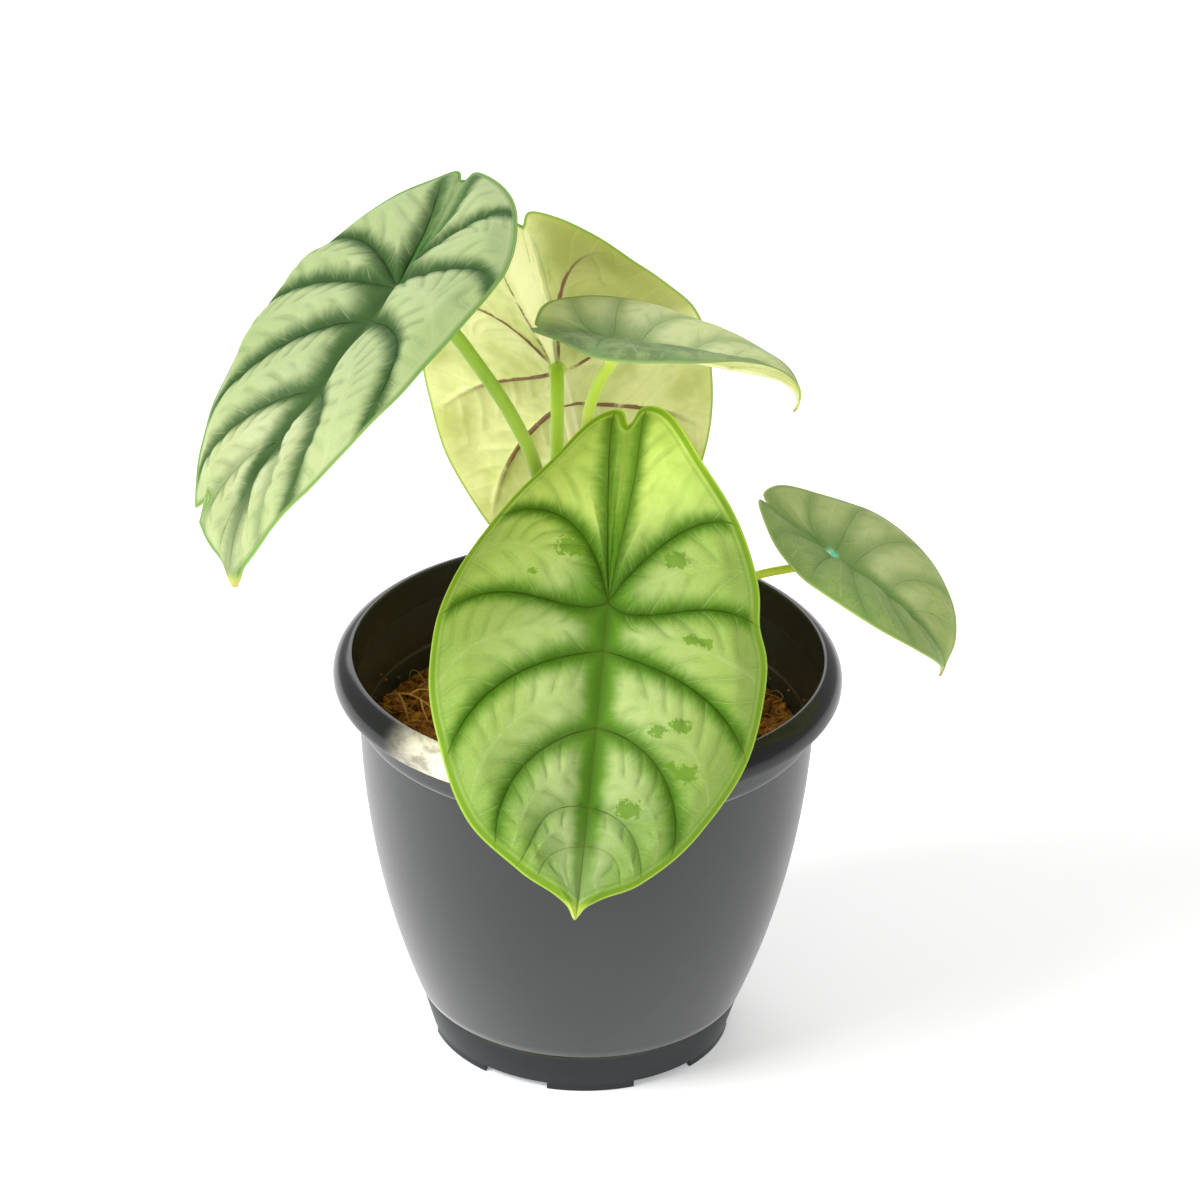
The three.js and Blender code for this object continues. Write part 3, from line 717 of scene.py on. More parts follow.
# One half of the blade's middle surface, with its pillows, grooves and ripples
def halfSheet(leaf, side):
    build = bladeBuild
    position, share = bladeGrid(leaf)
    flat = flatPoint(leaf, side, position, share)
    fields = bladeFields(leaf, side, position, share, flat)
    centre, step = spacePoint(leaf, side, flat), build["slopeStep"]
    lengthwise = spacePoint(leaf, side, flat + np.array([0, step])) - centre
    crosswise = spacePoint(leaf, side, flat + np.array([side * step, 0])) - centre
    upward = np.cross(crosswise, lengthwise) * side
    upward /= np.linalg.norm(upward, axis=-1, keepdims=True)
    swell = np.array(veinCourse["swell"])[np.minimum(position.astype(int), lastCourse)]
    pillow = np.abs(np.sin(math.pi * position)) ** build["pillowShape"]
    within = ramp(share, 0, build["pillowMidrib"])
    field = within * (1 - ramp(share, build["pillowMargin"], build["marginVein"]))
    shaped = lambda key: fields[key].reshape(position.shape)
    branch, veinGap = shaped("branch"), shaped("veinGap")
    middle = ramp(np.abs(position % 1 - 0.5), *build["branchRun"])
    groove = np.exp(-((branch - np.round(branch)) / build["branchWidth"]) ** 2)
    groove = groove * np.clip(veinGap / build["branchFromVein"], 0, 1)
    groove = groove * field * middle * ramp(shaped("ribGap"), *build["branchFromRib"])
    height = leaf["quilt"] * leaf["relief"] * swell * pillow * field
    rolled = ramp(share, build["marginVein"] - build["marginRollWide"], 1)
    height = height - leaf["quilt"] * build["marginRoll"] * rolled
    height = height - leaf["quilt"] * build["branchDepth"] * groove
    gentle = waves(flat[..., 0], flat[..., 1], build["rippleScale"], leaf["seed"] + 5)
    height = height + leaf["ripple"] * gentle * within
    edgeWave = waves(flat[..., 0], flat[..., 1], build["edgeWaveScale"], leaf["seed"] + 9)
    height = height + leaf["edgeWave"] * edgeWave * ramp(share, build["edgeWaveFrom"], 1)
    height = height * ramp(position, 0, build["lobeFlat"])
    return centre + upward * height[..., None], fields


# The whole blade: both faces, a rounded edge, and raised ribs underneath
def makeBlade(name, leaf, materials):
    build = bladeBuild
    points, faces, gathered = [], [], []
    start = 0
    for side in (1, -1):
        sheet, more = halfSheet(leaf, side)
        count, width = sheet.shape[:2]
        number = np.arange(count * width).reshape(count, width) + start
        a, b, c, d = number[:-1, :-1], number[1:, :-1], number[1:, 1:], number[:-1, 1:]
        corners = [a, d, c, b] if side > 0 else [a, b, c, d]
        faces.append(np.stack(corners, -1).reshape(-1, 4))
        points.append(sheet.reshape(-1, 3))
        gathered.append(more)
        start += count * width
    points, faces = np.concatenate(points), np.concatenate(faces)
    fields = {key: np.concatenate([half[key] for half in gathered]) for key in gathered[0]}
    _, first, inverse = np.unique(np.round(points, 4), axis=0, return_index=True, return_inverse=True)
    points, faces = points[first], inverse.reshape(-1)[faces]
    fields = {key: value[first] for key, value in fields.items()}
    faceList = [list(dict.fromkeys(face)) for face in faces.tolist()]
    faceList = [face for face in faceList if len(face) > 2]
    edgeGap, count = fields["edgeGap"], len(points)

    normals = np.zeros_like(points)
    for face in (np.array([f[:3] for f in faceList]), np.array([[f[0], f[-2], f[-1]] for f in faceList])):
        push = np.cross(points[face[:, 1]] - points[face[:, 0]], points[face[:, 2]] - points[face[:, 0]])
        for k in range(3):
            np.add.at(normals, face[:, k], push)
    normals /= np.maximum(np.linalg.norm(normals, axis=1, keepdims=True), 1e-12)

    thin, thick = build["edgeThickness"], build["thickness"]
    half = thin / 2 + (thick - thin) / 2 * ramp(edgeGap, 0, build["edgeReach"])
    fade = ramp(edgeGap, *build["ribFromEdge"])
    ribRise = build["ribRise"] * leaf["ribScale"] * np.exp(-(fields["ribGap"] / build["ribWidth"]) ** 2)
    ribRise = ribRise * (1 - build["ribFade"] * ramp(fields["flat"][:, 1], 0, leaf["length"])) * fade
    veinRise = build["veinRise"] * leaf["ribScale"] * np.exp(-(fields["veinGap"] / build["veinWidth"]) ** 2)
    lower = points - normals * (half + ribRise + veinRise * fade * fields["force"])[:, None]
    upper = points + normals * half[:, None]

    edges = {(p, q) for face in faceList for p, q in zip(face, face[1:] + face[:1])}
    rim = sorted((p, q) for p, q in edges if (q, p) not in edges)
    rimPoints = sorted({p for edge in rim for p in edge})
    ringAt = {p: 2 * count + i for i, p in enumerate(rimPoints)}
    outward = np.zeros_like(points)
    for p, q in rim:
        push = np.cross(points[q] - points[p], normals[p])
        outward[p] += push
        outward[q] += push
    ring = outward[rimPoints]
    ring /= np.maximum(np.linalg.norm(ring, axis=1, keepdims=True), 1e-12)
    ring = points[rimPoints] + ring * thin * build["edgeRound"]

    shell = list(faceList) + [[p + count for p in reversed(face)] for face in faceList]
    marks = [0] * len(faceList) + [1] * len(faceList)
    for p, q in rim:
        shell += [[q, p, ringAt[p], ringAt[q]], [ringAt[q], ringAt[p], p + count, q + count]]
        marks += [0, 0]
    whole = np.concatenate([upper, lower, ring])
    fields = {key: np.concatenate([value, value, value[rimPoints]]) for key, value in fields.items()}
    return meshObject(name, whole, shell, materials, marks, fields)


# Joint and stalk points in millimetres, turns in degrees, and one value for each half of the blade where
# there are two. Veins and bulges are listed by the half they are on
broadLeaf = {"taper": 0, "quilt": 1, "ripple": 0.25, "fineness": 1, "ribScale": 1, "edgeWave": 0.5}
smallLeaf = {"taper": 0, "ripple": 0.15, "fineness": 0.75, "ribScale": 0.6, "relief": 1.3, "edgeWave": 0.2,
             "veinForce": 0.6}
leaves = {
    "front": {
        **broadLeaf,
        "joint": (4.7, -42, 145.1), "heading": -5.2, "droop": 49.7, "lean": 4.5, "length": 78.9,
        "width": 42.9, "bend": 5.1, "lobeDrop": 9.5, "tipDrop": -4.2, "fold": (10.1, 14.9),
        "curl": (-23.3, -31.2), "twist": 27, "sweep": 0.026, "lobeSweep": -0.034, "widths": (1.02, 0.97),
        "lobes": 1.03, "relief": 1.9,
        "bulges": {
            1: [(1.2, 0.35, 2.2), (2.7, 0.4, 0.5), (4.2, 0.4, -1.2), (5.0, 0.5, 0.8), (7.5, 0.35, -0.5)],
            -1: [(1.3, 0.4, 2.8), (2.3, 0.4, 1.2), (3.05, 0.2, -1.8), (6.0, 0.6, 0.6), (7.5, 0.35, -0.5)],
        },
        "starts": [0.155, 0.40, 0.65, 0.77],
        "veins": {
            1: [(0.03, -0.20, 0.09, -0.42, 0.9), (0.08, -0.16, 0.28, -0.36, 2.3),
                (0.25, 0.09, 0.55, -0.12, 3.12), (0.30, 0.19, 0.72, 0.26, 4.42),
                (0.30, 0.44, 0.58, 0.60, 5.55), (0.30, 0.64, 0.28, 0.74, 5.95),
                (0.15, 0.78, 0.26, 0.81, 6.4)],
            -1: [(0.07, -0.18, 0.13, -0.40, 0.9), (0.20, -0.12, 0.45, -0.28, 2.35),
                 (0.22, 0.12, 0.60, -0.06, 3.05), (0.30, 0.20, 0.72, 0.25, 4.15),
                 (0.30, 0.42, 0.58, 0.56, 5.5), (0.20, 0.66, 0.34, 0.72, 6.05),
                 (0.15, 0.77, 0.25, 0.80, 6.5)],
        },
        "seed": 3, "socketTurn": -84, "stalkTop": 1.7, "stalkTint": (1, 1, 1),
        "stalk": [(0.9, -8.2, 96), (2.2, -18, 118), (4, -32, 137)],
        "splotches": [(10.5, -12.5, 3.4), (19, -6, 1.2), (-17.5, -10, 2.9), (-22, 9, 1.7), (-25.5, 9.5, 1.8),
                      (-15, 31.5, 2.0), (-20.5, 30, 2.5), (-19, 39.5, 1.3), (-22.5, 41, 3.0), (-10, 51, 3.0)],
    },
    "left": {
        **broadLeaf,
        "joint": (-48.9, -8, 213), "heading": -34.2, "droop": 22.3, "lean": 14.2, "length": 89.7,
        "width": 42.8, "bend": 24.1, "lobeDrop": -14.3, "tipDrop": 39.1, "fold": (9.2, 18.7),
        "curl": (-22.2, -14.5), "twist": -12.8, "sweep": 0.042, "lobeSweep": 0.063,
        "widths": (0.96, 1.005), "lobes": 0.716, "relief": 1.7,
        "bulges": {
            1: [(5.9, 0.5, -0.6), (7.3, 0.3, 0.5)],
            -1: [(1.6, 0.5, 1.5), (6.6, 0.7, 1.2), (7.4, 0.3, 0.9)],
        },
        "centre": [(-0.62, 0.25, 6), (0.68, 0.18, 3.5)],
        "veins": {
            1: [(0.05, -0.20, 0.12, -0.42, 1.1), (0.20, -0.10, 0.55, -0.30, 2.6),
                (0.30, 0.03, 0.80, 0.00, 3.3), (0.25, 0.16, 0.68, 0.28, 4.25),
                (0.30, 0.43, 0.62, 0.53, 5.03)],
            -1: [(0.08, -0.20, 0.12, -0.42, 0.9), (0.15, -0.15, 0.24, -0.38, 1.95),
                 (0.20, 0.02, 0.60, -0.14, 3.1), (0.35, 0.20, 0.80, 0.24, 4.5),
                 (0.25, 0.45, 0.50, 0.58, 5.55), (0.18, 0.62, 0.30, 0.74, 6.2), (0.08, 0.77, 0.16, 0.85, 7)],
        },
        "seed": 11, "socketTurn": 204, "stalkTint": (0.74, 0.83, 0.45), "stalkTop": 1.75,
        "stalk": [(-7.4, -3, 110), (-10.2, -3.6, 138), (-14.3, -4.2, 162.6), (-20.4, -5, 177.1),
                  (-29.6, -6, 192.4), (-37.2, -6.9, 203)],
        "nicks": [{"side": 1, "at": 5.58, "wide": 0.12, "deep": 6.8}],
    },
    "back": {
        **broadLeaf,
        "joint": (-9.7, 28, 174.4), "heading": 156.9, "droop": 60.6, "lean": -13.8, "length": 84.6,
        "width": 41.7, "bend": 38, "lobeDrop": -18.7, "tipDrop": 24.5, "fold": (35.8, 25.4),
        "curl": (-8.4, -19), "twist": 8.9, "sweep": -0.013, "lobeSweep": -0.045, "widths": (0.98, 0.99),
        "lobes": 1.02, "quilt": 0.6, "ripple": 0.35, "ribScale": 1.1, "relief": 1.2, "edgeWave": 0.8,
        "bulges": {1: [(1.4, 0.4, 1.0)], -1: [(1.4, 0.4, 1.0)]},
        "starts": [0.155, 0.39, 0.57, 0.73],
        "veins": {
            1: [(0.04, -0.15, 0.09, -0.38, 0.4), (0.10, -0.22, 0.15, -0.50, 1.95),
                (0.15, 0.08, 0.50, -0.08, 3), (0.25, 0.25, 0.60, 0.33, 4.15),
                (0.3, 0.4, 0.58, 0.5, 5)],
            -1: [(0.10, -0.13, 0.24, -0.35, 1.35), (0.18, -0.11, 0.50, -0.25, 2.6),
                 (0.15, 0.12, 0.60, 0.13, 3.7), (0.25, 0.30, 0.60, 0.45, 4.95),
                 (0.20, 0.46, 0.38, 0.62, 5.8), (0.14, 0.6, 0.26, 0.72, 6.4), (0.08, 0.75, 0.12, 0.84, 7.1)],
        },
        "shadedOlive": 0.85, "paleVein": 21,
        "seed": 23, "socketTurn": 132, "stalkTint": (1.1, 1.2, 0.6), "stalkTop": 1.7,
        "stalk": [(-7, 6.5, 110), (-8.9, 11, 140), (-9.1, 13.5, 160), (-9.5, 19.5, 176.4)],
    },
    "upper": {
        **smallLeaf,
        "joint": (3.1, -8, 198.9), "heading": 82, "droop": 5.6, "lean": -11.7, "length": 53.5,
        "width": 29, "bend": 3, "lobeDrop": -1.9, "tipDrop": 118, "fold": (27.5, 26.3),
        "curl": (-40.9, -29.8), "twist": 12.5, "sweep": 0, "lobeSweep": -0.01, "widths": (0.95, 0.98),
        "lobes": 0.57, "taper": 0.42, "quilt": 0.35,
        "bulges": {
            1: [(1.5, 0.4, 2.6), (3.0, 1.0, 2.2)],
            -1: [(1.5, 0.4, 2.6), (2.2, 0.5, 1.0), (3.5, 0.9, 1.0)],
        },
        "seed": 31, "socketTurn": 60, "stalkTint": (1.6, 1.4, 1.5), "stalkTop": 1.5,
        "stalk": [(1, 2.5, 110), (-0.8, 0, 145), (-1.5, -2, 175.6), (1.6, -5, 188.4), (4, -7.2, 193.8)],
    },
    "right": {
        **smallLeaf,
        "joint": (60.2, -6, 140.4), "heading": 71.2, "droop": 22.1, "lean": -6.7, "length": 43,
        "width": 28, "bend": 29.9, "lobeDrop": -22.5, "tipDrop": 51.2, "fold": (22.3, 22.4),
        "curl": (-32.5, -24.4), "twist": 1.6, "sweep": 0.013, "lobeSweep": -0.019, "widths": (0.99, 1),
        "lobes": 0.86, "quilt": 0.4,
        "bulges": {1: [(1.4, 0.4, 1.8), (2.1, 0.6, 2.2)], -1: [(1.4, 0.45, 2.0)]},
        "seed": 47, "socketTurn": -12, "stalkTint": (1.8, 1.45, 1.6), "stalkTop": 1.1,
        "stalk": [(9, -1.6, 97), (18, -2, 114), (30, -2.5, 126.5), (42.6, -3, 133), (53.5, -5, 137)],
    },
}

# Distances and places on the blade that both of its materials read
bladeGuides = ("veinGap", "ribGap", "edgeGap", "jointGap", "share", "course", "branch", "force")

# Colours of the upper face: pillows, the green that lines the veins, the veins, and the margin. The last tint
# is partly painted light and shade: the front blade's lobes on one half are painted brighter, and one half of
# the upper blade is painted darker. It gives its direction across and along the blade, its reach in
# millimetres, and both its ends
bladeLooks = {
    "front": {
        "tintAndLight": ((0.6, -1), (5, 27), (0.87, 0.89, 0.76), (1.30, 1.26, 1.05)),
        "pillow": (0.36, 0.47, 0.14), "pillowShade": (0.25, 0.38, 0.062), "pillowTip": (0.23, 0.34, 0.115),
        "band": (0.105, 0.245, 0.012), "bandDeepAndShade": (0.040, 0.120, 0.001), "channel": (0.09, 0.23, 0.006),
        "vein": (0.09, 0.115, 0.005), "rim": (0.18, 0.31, 0.022), "rimEdge": (0.36, 0.52, 0.08),
        "branch": (0.47, 0.56, 0.27), "tip": (0.46, 0.58, 0.10), "joint": (0.05, 0.14, 0.004),
        "splotch": (0.12, 0.25, 0.014), "bandWide": 5.0, "ribWide": 6.4, "contrast": 0.97, "rimWide": 1.3,
        "silver": 0.6, "lobeTintAndLight": (0.54, 0.69, 0.18), "line": 0.75, "jointSize": 1.0, "gloss": 0.10,
        "tipFrom": 0.935, "tipEnd": (0.50, 0.62, 0.13),
    },
    "left": {
        "tintAndLight": ((0, 1), (28, 55), (0.87, 0.90, 0.79), (1.10, 1.06, 1.04)),
        "pillow": (0.39, 0.455, 0.24), "pillowShade": (0.33, 0.42, 0.18), "pillowTip": (0.37, 0.43, 0.21),
        "band": (0.050, 0.115, 0.026), "bandDeepAndShade": (0.014, 0.060, 0.004), "channel": (0.035, 0.15, 0.015),
        "vein": (0.06, 0.12, 0.03), "rim": (0.12, 0.23, 0.05), "rimEdge": (0.20, 0.33, 0.08),
        "branch": (0.46, 0.53, 0.31), "tip": (0.42, 0.45, 0.10), "joint": (0.32, 0.27, 0.12),
        "bandWide": 4.9, "ribWide": 7.0, "contrast": 0.97, "rimWide": 0.6,
        "silver": 0.4, "lobeTintAndLight": (0.42, 0.48, 0.27), "line": 0.35, "jointSize": 0.8, "gloss": 0.2,
        "tipFrom": 0.95, "tipEnd": (0.50, 0.42, 0.16), "sore": (0.45, 0.17, 0.05),
    },
    "back": {
        "pillow": (0.40, 0.50, 0.22), "pillowShade": (0.30, 0.42, 0.14), "pillowTip": (0.36, 0.46, 0.18),
        "band": (0.08, 0.18, 0.025), "bandDeepAndShade": (0.04, 0.11, 0.008), "channel": (0.06, 0.18, 0.02),
        "vein": (0.10, 0.18, 0.03), "rim": (0.22, 0.36, 0.06), "rimEdge": (0.30, 0.42, 0.10),
        "branch": (0.46, 0.58, 0.28), "tip": (0.5, 0.5, 0.14), "joint": (0.10, 0.20, 0.04),
        "bandWide": 5.2, "ribWide": 6.6, "contrast": 0.95, "rimWide": 0.8,
        "silver": 0.4, "lobeTintAndLight": (0.40, 0.50, 0.22), "line": 0.4, "jointSize": 0.8, "gloss": 0.2,
        "tipFrom": 0.95, "tipEnd": (0.5, 0.5, 0.14),
    },
    "upper": {
        "tintAndLight": ((1, 0), (-2, 2), (1.02, 1.00, 0.84), (0.80, 0.84, 0.70)),
        "pillow": (0.57, 0.65, 0.33), "pillowShade": (0.56, 0.64, 0.32), "pillowTip": (0.38, 0.43, 0.22),
        "band": (0.24, 0.37, 0.15), "bandDeepAndShade": (0.15, 0.29, 0.10), "channel": (0.22, 0.34, 0.14),
        "vein": (0.16, 0.30, 0.11), "rim": (0.24, 0.37, 0.12), "rimEdge": (0.30, 0.42, 0.15),
        "branch": (0.60, 0.67, 0.43), "tip": (0.70, 0.75, 0.28), "joint": (0.20, 0.50, 0.36),
        "bandWide": 4.6, "ribWide": 5.0, "contrast": 0.85, "rimWide": 0.4,
        "silver": 0.45, "lobeTintAndLight": (0.74, 0.82, 0.44), "line": 0.06, "jointSize": 1.8, "gloss": 0.2,
        "shadedHalf": (0.10, 0.18, 0.045), "tipFrom": 0.86, "tipEnd": (0.62, 0.42, 0.20),
    },
    "right": {
        "tintAndLight": ((1, 0), (-2, 2), (1.08, 1.06, 0.95), (1.08, 1.06, 0.95)),
        "pillow": (0.43, 0.51, 0.215), "pillowShade": (0.32, 0.41, 0.14), "pillowTip": (0.28, 0.37, 0.11),
        "band": (0.17, 0.28, 0.075), "bandDeepAndShade": (0.11, 0.23, 0.055), "channel": (0.15, 0.25, 0.07),
        "vein": (0.16, 0.28, 0.09), "rim": (0.24, 0.35, 0.10), "rimEdge": (0.36, 0.46, 0.15),
        "branch": (0.50, 0.57, 0.32), "tip": (0.42, 0.28, 0.10), "joint": (0.20, 0.76, 0.60),
        "bandWide": 4.4, "ribWide": 4.2, "contrast": 0.85, "rimWide": 0.4,
        "silver": 0.3, "lobeTintAndLight": (0.36, 0.44, 0.17), "line": 0.10, "jointSize": 2.4, "gloss": 0.2,
        "shadedHalf": (0.165, 0.28, 0.065), "tipFrom": 0.955, "tipEnd": (0.42, 0.24, 0.09),
    },
}


# Light that passes through the leaf, for each face: its share, its reach by colour, and its scale
upperFlesh, lowerFlesh = (0.15, (0.6, 1.0, 0.15), 0.0015), (0.3, (0.9, 1.0, 0.2), 0.002)


# Gaps and heights are in millimetres. Share runs from the midrib to the margin, and course counts the
# veins from the notch to the tip
def bladeTop(name, look, leaf):
    material, board = newMaterial("bladeTop_" + name, look["pillow"])
    smooth, fade, noise, patches = board.smooth, board.fade, board.noise, board.patches
    veinGap, ribGap, edgeGap, jointGap, share, course, branch, force = map(board.field, bladeGuides)
    flat, length, rimWide = board.field("flat", "Vector"), leaf["length"], look["rimWide"]
    across, height, _ = board.split(flat)
    cloud = noise(flat, 0.07, 3, 0.6)

    # The silvery pillows
    paint = Paint(board, look["pillow"])
    nearTip = smooth(height + (cloud - 0.5) * 30, length * 0.25, length * 0.8)
    paint.lay(nearTip, look["pillowTip"])
    paint.lay(smooth(share + (cloud - 0.5) * 0.5, 0.45, 0.95) * 0.75, look["pillowShade"])
    silver = fade(share + (cloud - 0.5) * 0.3, 0.25, 0.62) * smooth(height, -14, -2)
    paint.lay(silver * look["silver"], look["branch"])
    # The lobes in a tint of their own. On the front blade it is lighter: painted light where the shape leaves
    # the lobes darker
    paint.lay(fade(height, -26, -9) * look["silver"], look["lobeTintAndLight"])
    # One half of the blade painted much darker, as shade
    if "shadedHalf" in look:
        half = smooth(across + (cloud - 0.5) * 8, -3.0, 1.0) * (1 - 0.25 * nearTip)
        paint.lay(half * 0.95, look["shadedHalf"])
    paint.lay(0.35 * patches(flat, 0.16, 0.42, 0.68), look["pillowShade"])
    paint.lay(0.22 * patches(flat, 1.6, 0.35, 0.75, 3, 0.7), look["branch"])

    # The green that spreads from the veins, the midrib and the joint, with feathered edges. Next to the veins
    # and
    # the midrib it is darker: partly the leaf's own deeper green, partly painted shade in the grooves
    feather, ribFeather = (
        noise(board.join(board.field(run) * 0.9, gap * 0.12, seed), 1, 3, 0.6) - 0.5
        for run, gap, seed in (("veinRun", veinGap, board.field("veinNumber")), ("ribRun", ribGap, 3)))
    broad = noise(flat, 0.10, 2) - 0.5
    wide = look["bandWide"] * (1.3 - 0.5 * share) * (0.45 + 0.55 * force)
    veinBand = fade(veinGap / wide + feather * 0.40 + broad * 0.5, 0.15, 1.05) * force
    ribWide = look["ribWide"] * (1 - smooth(height, length * 0.35, length * 0.85) * 0.3)
    ribBand = fade(ribGap / ribWide + ribFeather * 0.40 + broad * 0.4, 0.35, 1.05)
    ribBand = ribBand * (1 - 0.5 * smooth(height, length * 0.65, length * 0.95))
    jointBand = fade(jointGap, 4, 15)
    channel = fade(course, 0.86, 1.0) * (1 - 0.5 * smooth(height * -1, 8, 26))
    band = 1 - (1 - veinBand) * (1 - ribBand) * (1 - jointBand) * (1 - channel * 0.9)
    band = band * smooth(edgeGap, rimWide * 0.6, rimWide * 2.5)
    # Darker green close to the veins and the midrib: the leaf's own deeper green and painted shade in the
    # grooves
    deep = fade(veinGap.sum("MINIMUM", ribGap), 0.1, 3.8) * band
    green = Paint(board, look["band"])
    green.lay(deep * 0.8, look["bandDeepAndShade"])
    green.lay(channel, look["channel"])
    paint.lay(band * look["contrast"], green.colour)

    # Branch veins inside the pillows, with finer ones between them
    fraction, inside = abs(course.sum("FRACT") - 0.5), smooth(edgeGap, 1.2, 3.0)
    thin = smooth(fraction, 0.03, 0.10) * smooth(ribGap, 2.5, 7) * smooth(course, 1.0, 1.15)
    thin = thin * smooth(veinGap, 0.3, 1.5) * inside
    thin = thin * patches(flat, 0.09, 0.3, 0.6, 2)
    branchGap = branch.toWhole()
    branchLine, branchShade = fade(branchGap, 0.010, 0.035) * thin, fade(branchGap, 0.03, 0.30) * thin
    fineGap = (branch * 3.7 + noise(flat, 0.30, 2) * 1.5).toWhole()
    fineLine = fade(fineGap, 0.03, 0.16) * thin
    centreLine = fade(abs(fraction + (noise(flat, 0.16) - 0.5) * 0.12), 0.004, 0.016)
    centreLine = centreLine * smooth(share, 0.3, 0.45) * inside
    paint.lay(branchShade * 0.26, look["band"])
    paint.lay((branchLine * 0.35).sum("MAXIMUM", centreLine * 0.25), look["branch"])
    paint.lay(fineLine * 0.08 * (0.3 + band), look["branch"])
    if "splotches" in leaf:
        ragged = board.field("splotch") + (noise(flat, 0.6, 4, 0.8) - 0.5) * 3.0
        paint.lay(fade(ragged, 0.78, 0.90) * 0.8, look["splotch"])

    # Main veins, the margin, the joint's spot and the drip tip
    veinLine = fade(veinGap, 0.10, 0.30) * (0.25 + 0.75 * force)
    lines = veinLine.sum("MAXIMUM", fade(ribGap, 0.15, 0.42) * 0.7) * smooth(edgeGap, 0.9, 1.6)
    paint.lay(lines * look["line"], look["vein"])
    paint.lay(fade(abs(edgeGap - rimWide * 2), 0.12, 0.55) * smooth(course, 1.0, 1.3) * 0.30, look["band"])
    paint.lay(fade(edgeGap, rimWide, rimWide + 0.6), look["rim"])
    paint.lay(fade(edgeGap, 0.10, 0.55), look["rimEdge"])
    star = jointGap / look["jointSize"] + (noise(flat, 0.9, 2) - 0.5) * 0.8
    paint.lay(fade(star, 0.3, 1.2) * 0.9, look["joint"])
    if "nicks" in leaf:
        sore = board.field("nick") + (noise(flat, 0.8) - 0.5) * 2
        paint.lay(fade(sore, 1.6, 3.4) * fade(edgeGap, 0.2, 0.8), look["sore"])
    tipFrom = length * look["tipFrom"]
    paint.lay(smooth(height, tipFrom, tipFrom + 3), look["tip"])
    paint.lay(smooth(height, length - 2.5, length - 0.5), look["tipEnd"])
    # A last tint that multiplies the colour: painted light and shade, brighter or darker towards one side or
    # end
    if "tintAndLight" in look:
        (crosswise, lengthwise), reach, near, far = look["tintAndLight"]
        lightTint = board.mix(smooth(across * crosswise + height * lengthwise, *reach), near, far)
        paint.lay(1, lightTint, "MULTIPLY")
    relief = noise(flat, 2.4, 4, 0.7) * 0.45 - branchLine * 0.5 - fineLine * 0.3
    relief = relief - veinLine * 1.4 * look["line"]
    rough = 0.50 + 0.14 * noise(flat, 0.5) + 0.08 * band
    finishMaterial(board, paint.colour, rough, relief, 0.00014, upperFlesh, Specular_IOR_Level=look["gloss"])
    return material


undersideLook = {
    "lamina": (0.80, 0.84, 0.39), "shade": (0.56, 0.61, 0.20), "vein": (0.20, 0.085, 0.03),
    "rib": (0.96, 0.97, 0.52), "branch": (0.58, 0.64, 0.24), "rim": (0.26, 0.40, 0.06),
    "shadedOlive": (0.40, 0.43, 0.105),
}


def bladeUnder(name, look, leaf):
    material, board = newMaterial("bladeUnder_" + name, look["lamina"])
    smooth, fade, noise, patches = board.smooth, board.fade, board.noise, board.patches
    veinGap, ribGap, edgeGap, jointGap, share, course, branch, force = map(board.field, bladeGuides)
    flat = board.field("flat", "Vector")
    cloud = noise(flat, 0.06, 3, 0.6)
    paint = Paint(board, look["lamina"])
    paint.lay(smooth(cloud, 0.35, 0.7), look["shade"])
    # The upper part of one half painted a darker olive, as shade where that half faces away from the light
    if "shadedOlive" in leaf:
        across, height, _ = board.split(flat)
        shadedSide = smooth(across, 0, 9) * fade(height + (cloud - 0.5) * 14, -4, 4)
        paint.lay(shadedSide * leaf["shadedOlive"], look["shadedOlive"])
    paint.lay(0.18 * patches(flat, 1.1, 0.4, 0.7, 4, 0.7), look["shade"])
    branchGap = branch.toWhole()
    thin = smooth(abs(course.sum("FRACT") - 0.5), 0.03, 0.1) * smooth(ribGap, 3, 8)
    paint.lay(fade(branchGap, 0.02, 0.10) * thin * 0.22, look["branch"])
    paint.lay(fade(course, 0.75, 1.0) * 0.95, look["rib"])
    paint.lay(fade(ribGap, 1.0, 1.7) * 0.85, look["rib"])
    strength = fade(share, 0.55, 0.92) * patches(flat, 0.18, 0.30, 0.46) * smooth(jointGap, 2.5, 6)
    if "paleVein" in leaf:
        strength = strength * smooth(abs(board.field("veinNumber") - leaf["paleVein"]), 0.3, 0.6)
    uneven = veinGap + (noise(flat, 0.7, 3, 0.7) - 0.5) * 0.7
    paint.lay(fade(uneven, 0.20, 0.48) * strength * force * 0.95, look["vein"])
    paint.lay(fade(edgeGap, 0.2, 0.8), look["rim"])
    rough = 0.42 + 0.12 * noise(flat, 0.6)
    relief = noise(flat, 1.8, 4, 0.65) * 0.5 + fade(branchGap, 0.02, 0.2) * thin * 0.4
    finishMaterial(board, paint.colour, rough, relief, 0.00012, lowerFlesh, Specular_IOR_Level=0.3)
    return material


for name, leaf in leaves.items():
    skins = [bladeTop(name, bladeLooks[name], leaf), bladeUnder(name, undersideLook, leaf)]
    blade = makeBlade("leaf" + name.capitalize(), leaf, skins)
    dress(blade, "blade_" + name, "blade_" + name)
    print("blade", name, len(blade.data.polygons), "faces")


# Petioles

stalkBuild = {
    "steps": 90, "sides": 20, "curveSteps": 40, "socketRing": 5.6, "socketFloor": 80.5,
    "sheath": 2.6, "sheathLength": 0.3, "flare": 0.55, "flareLength": 0.05,
}


def stalkCourse(leaf):
    turn = math.radians(leaf["socketTurn"])
    ring = stalkBuild["socketRing"]
    foot = (ring * math.cos(turn), ring * math.sin(turn), stalkBuild["socketFloor"])
    return np.array([foot, *leaf["stalk"], leaf["joint"]], float)


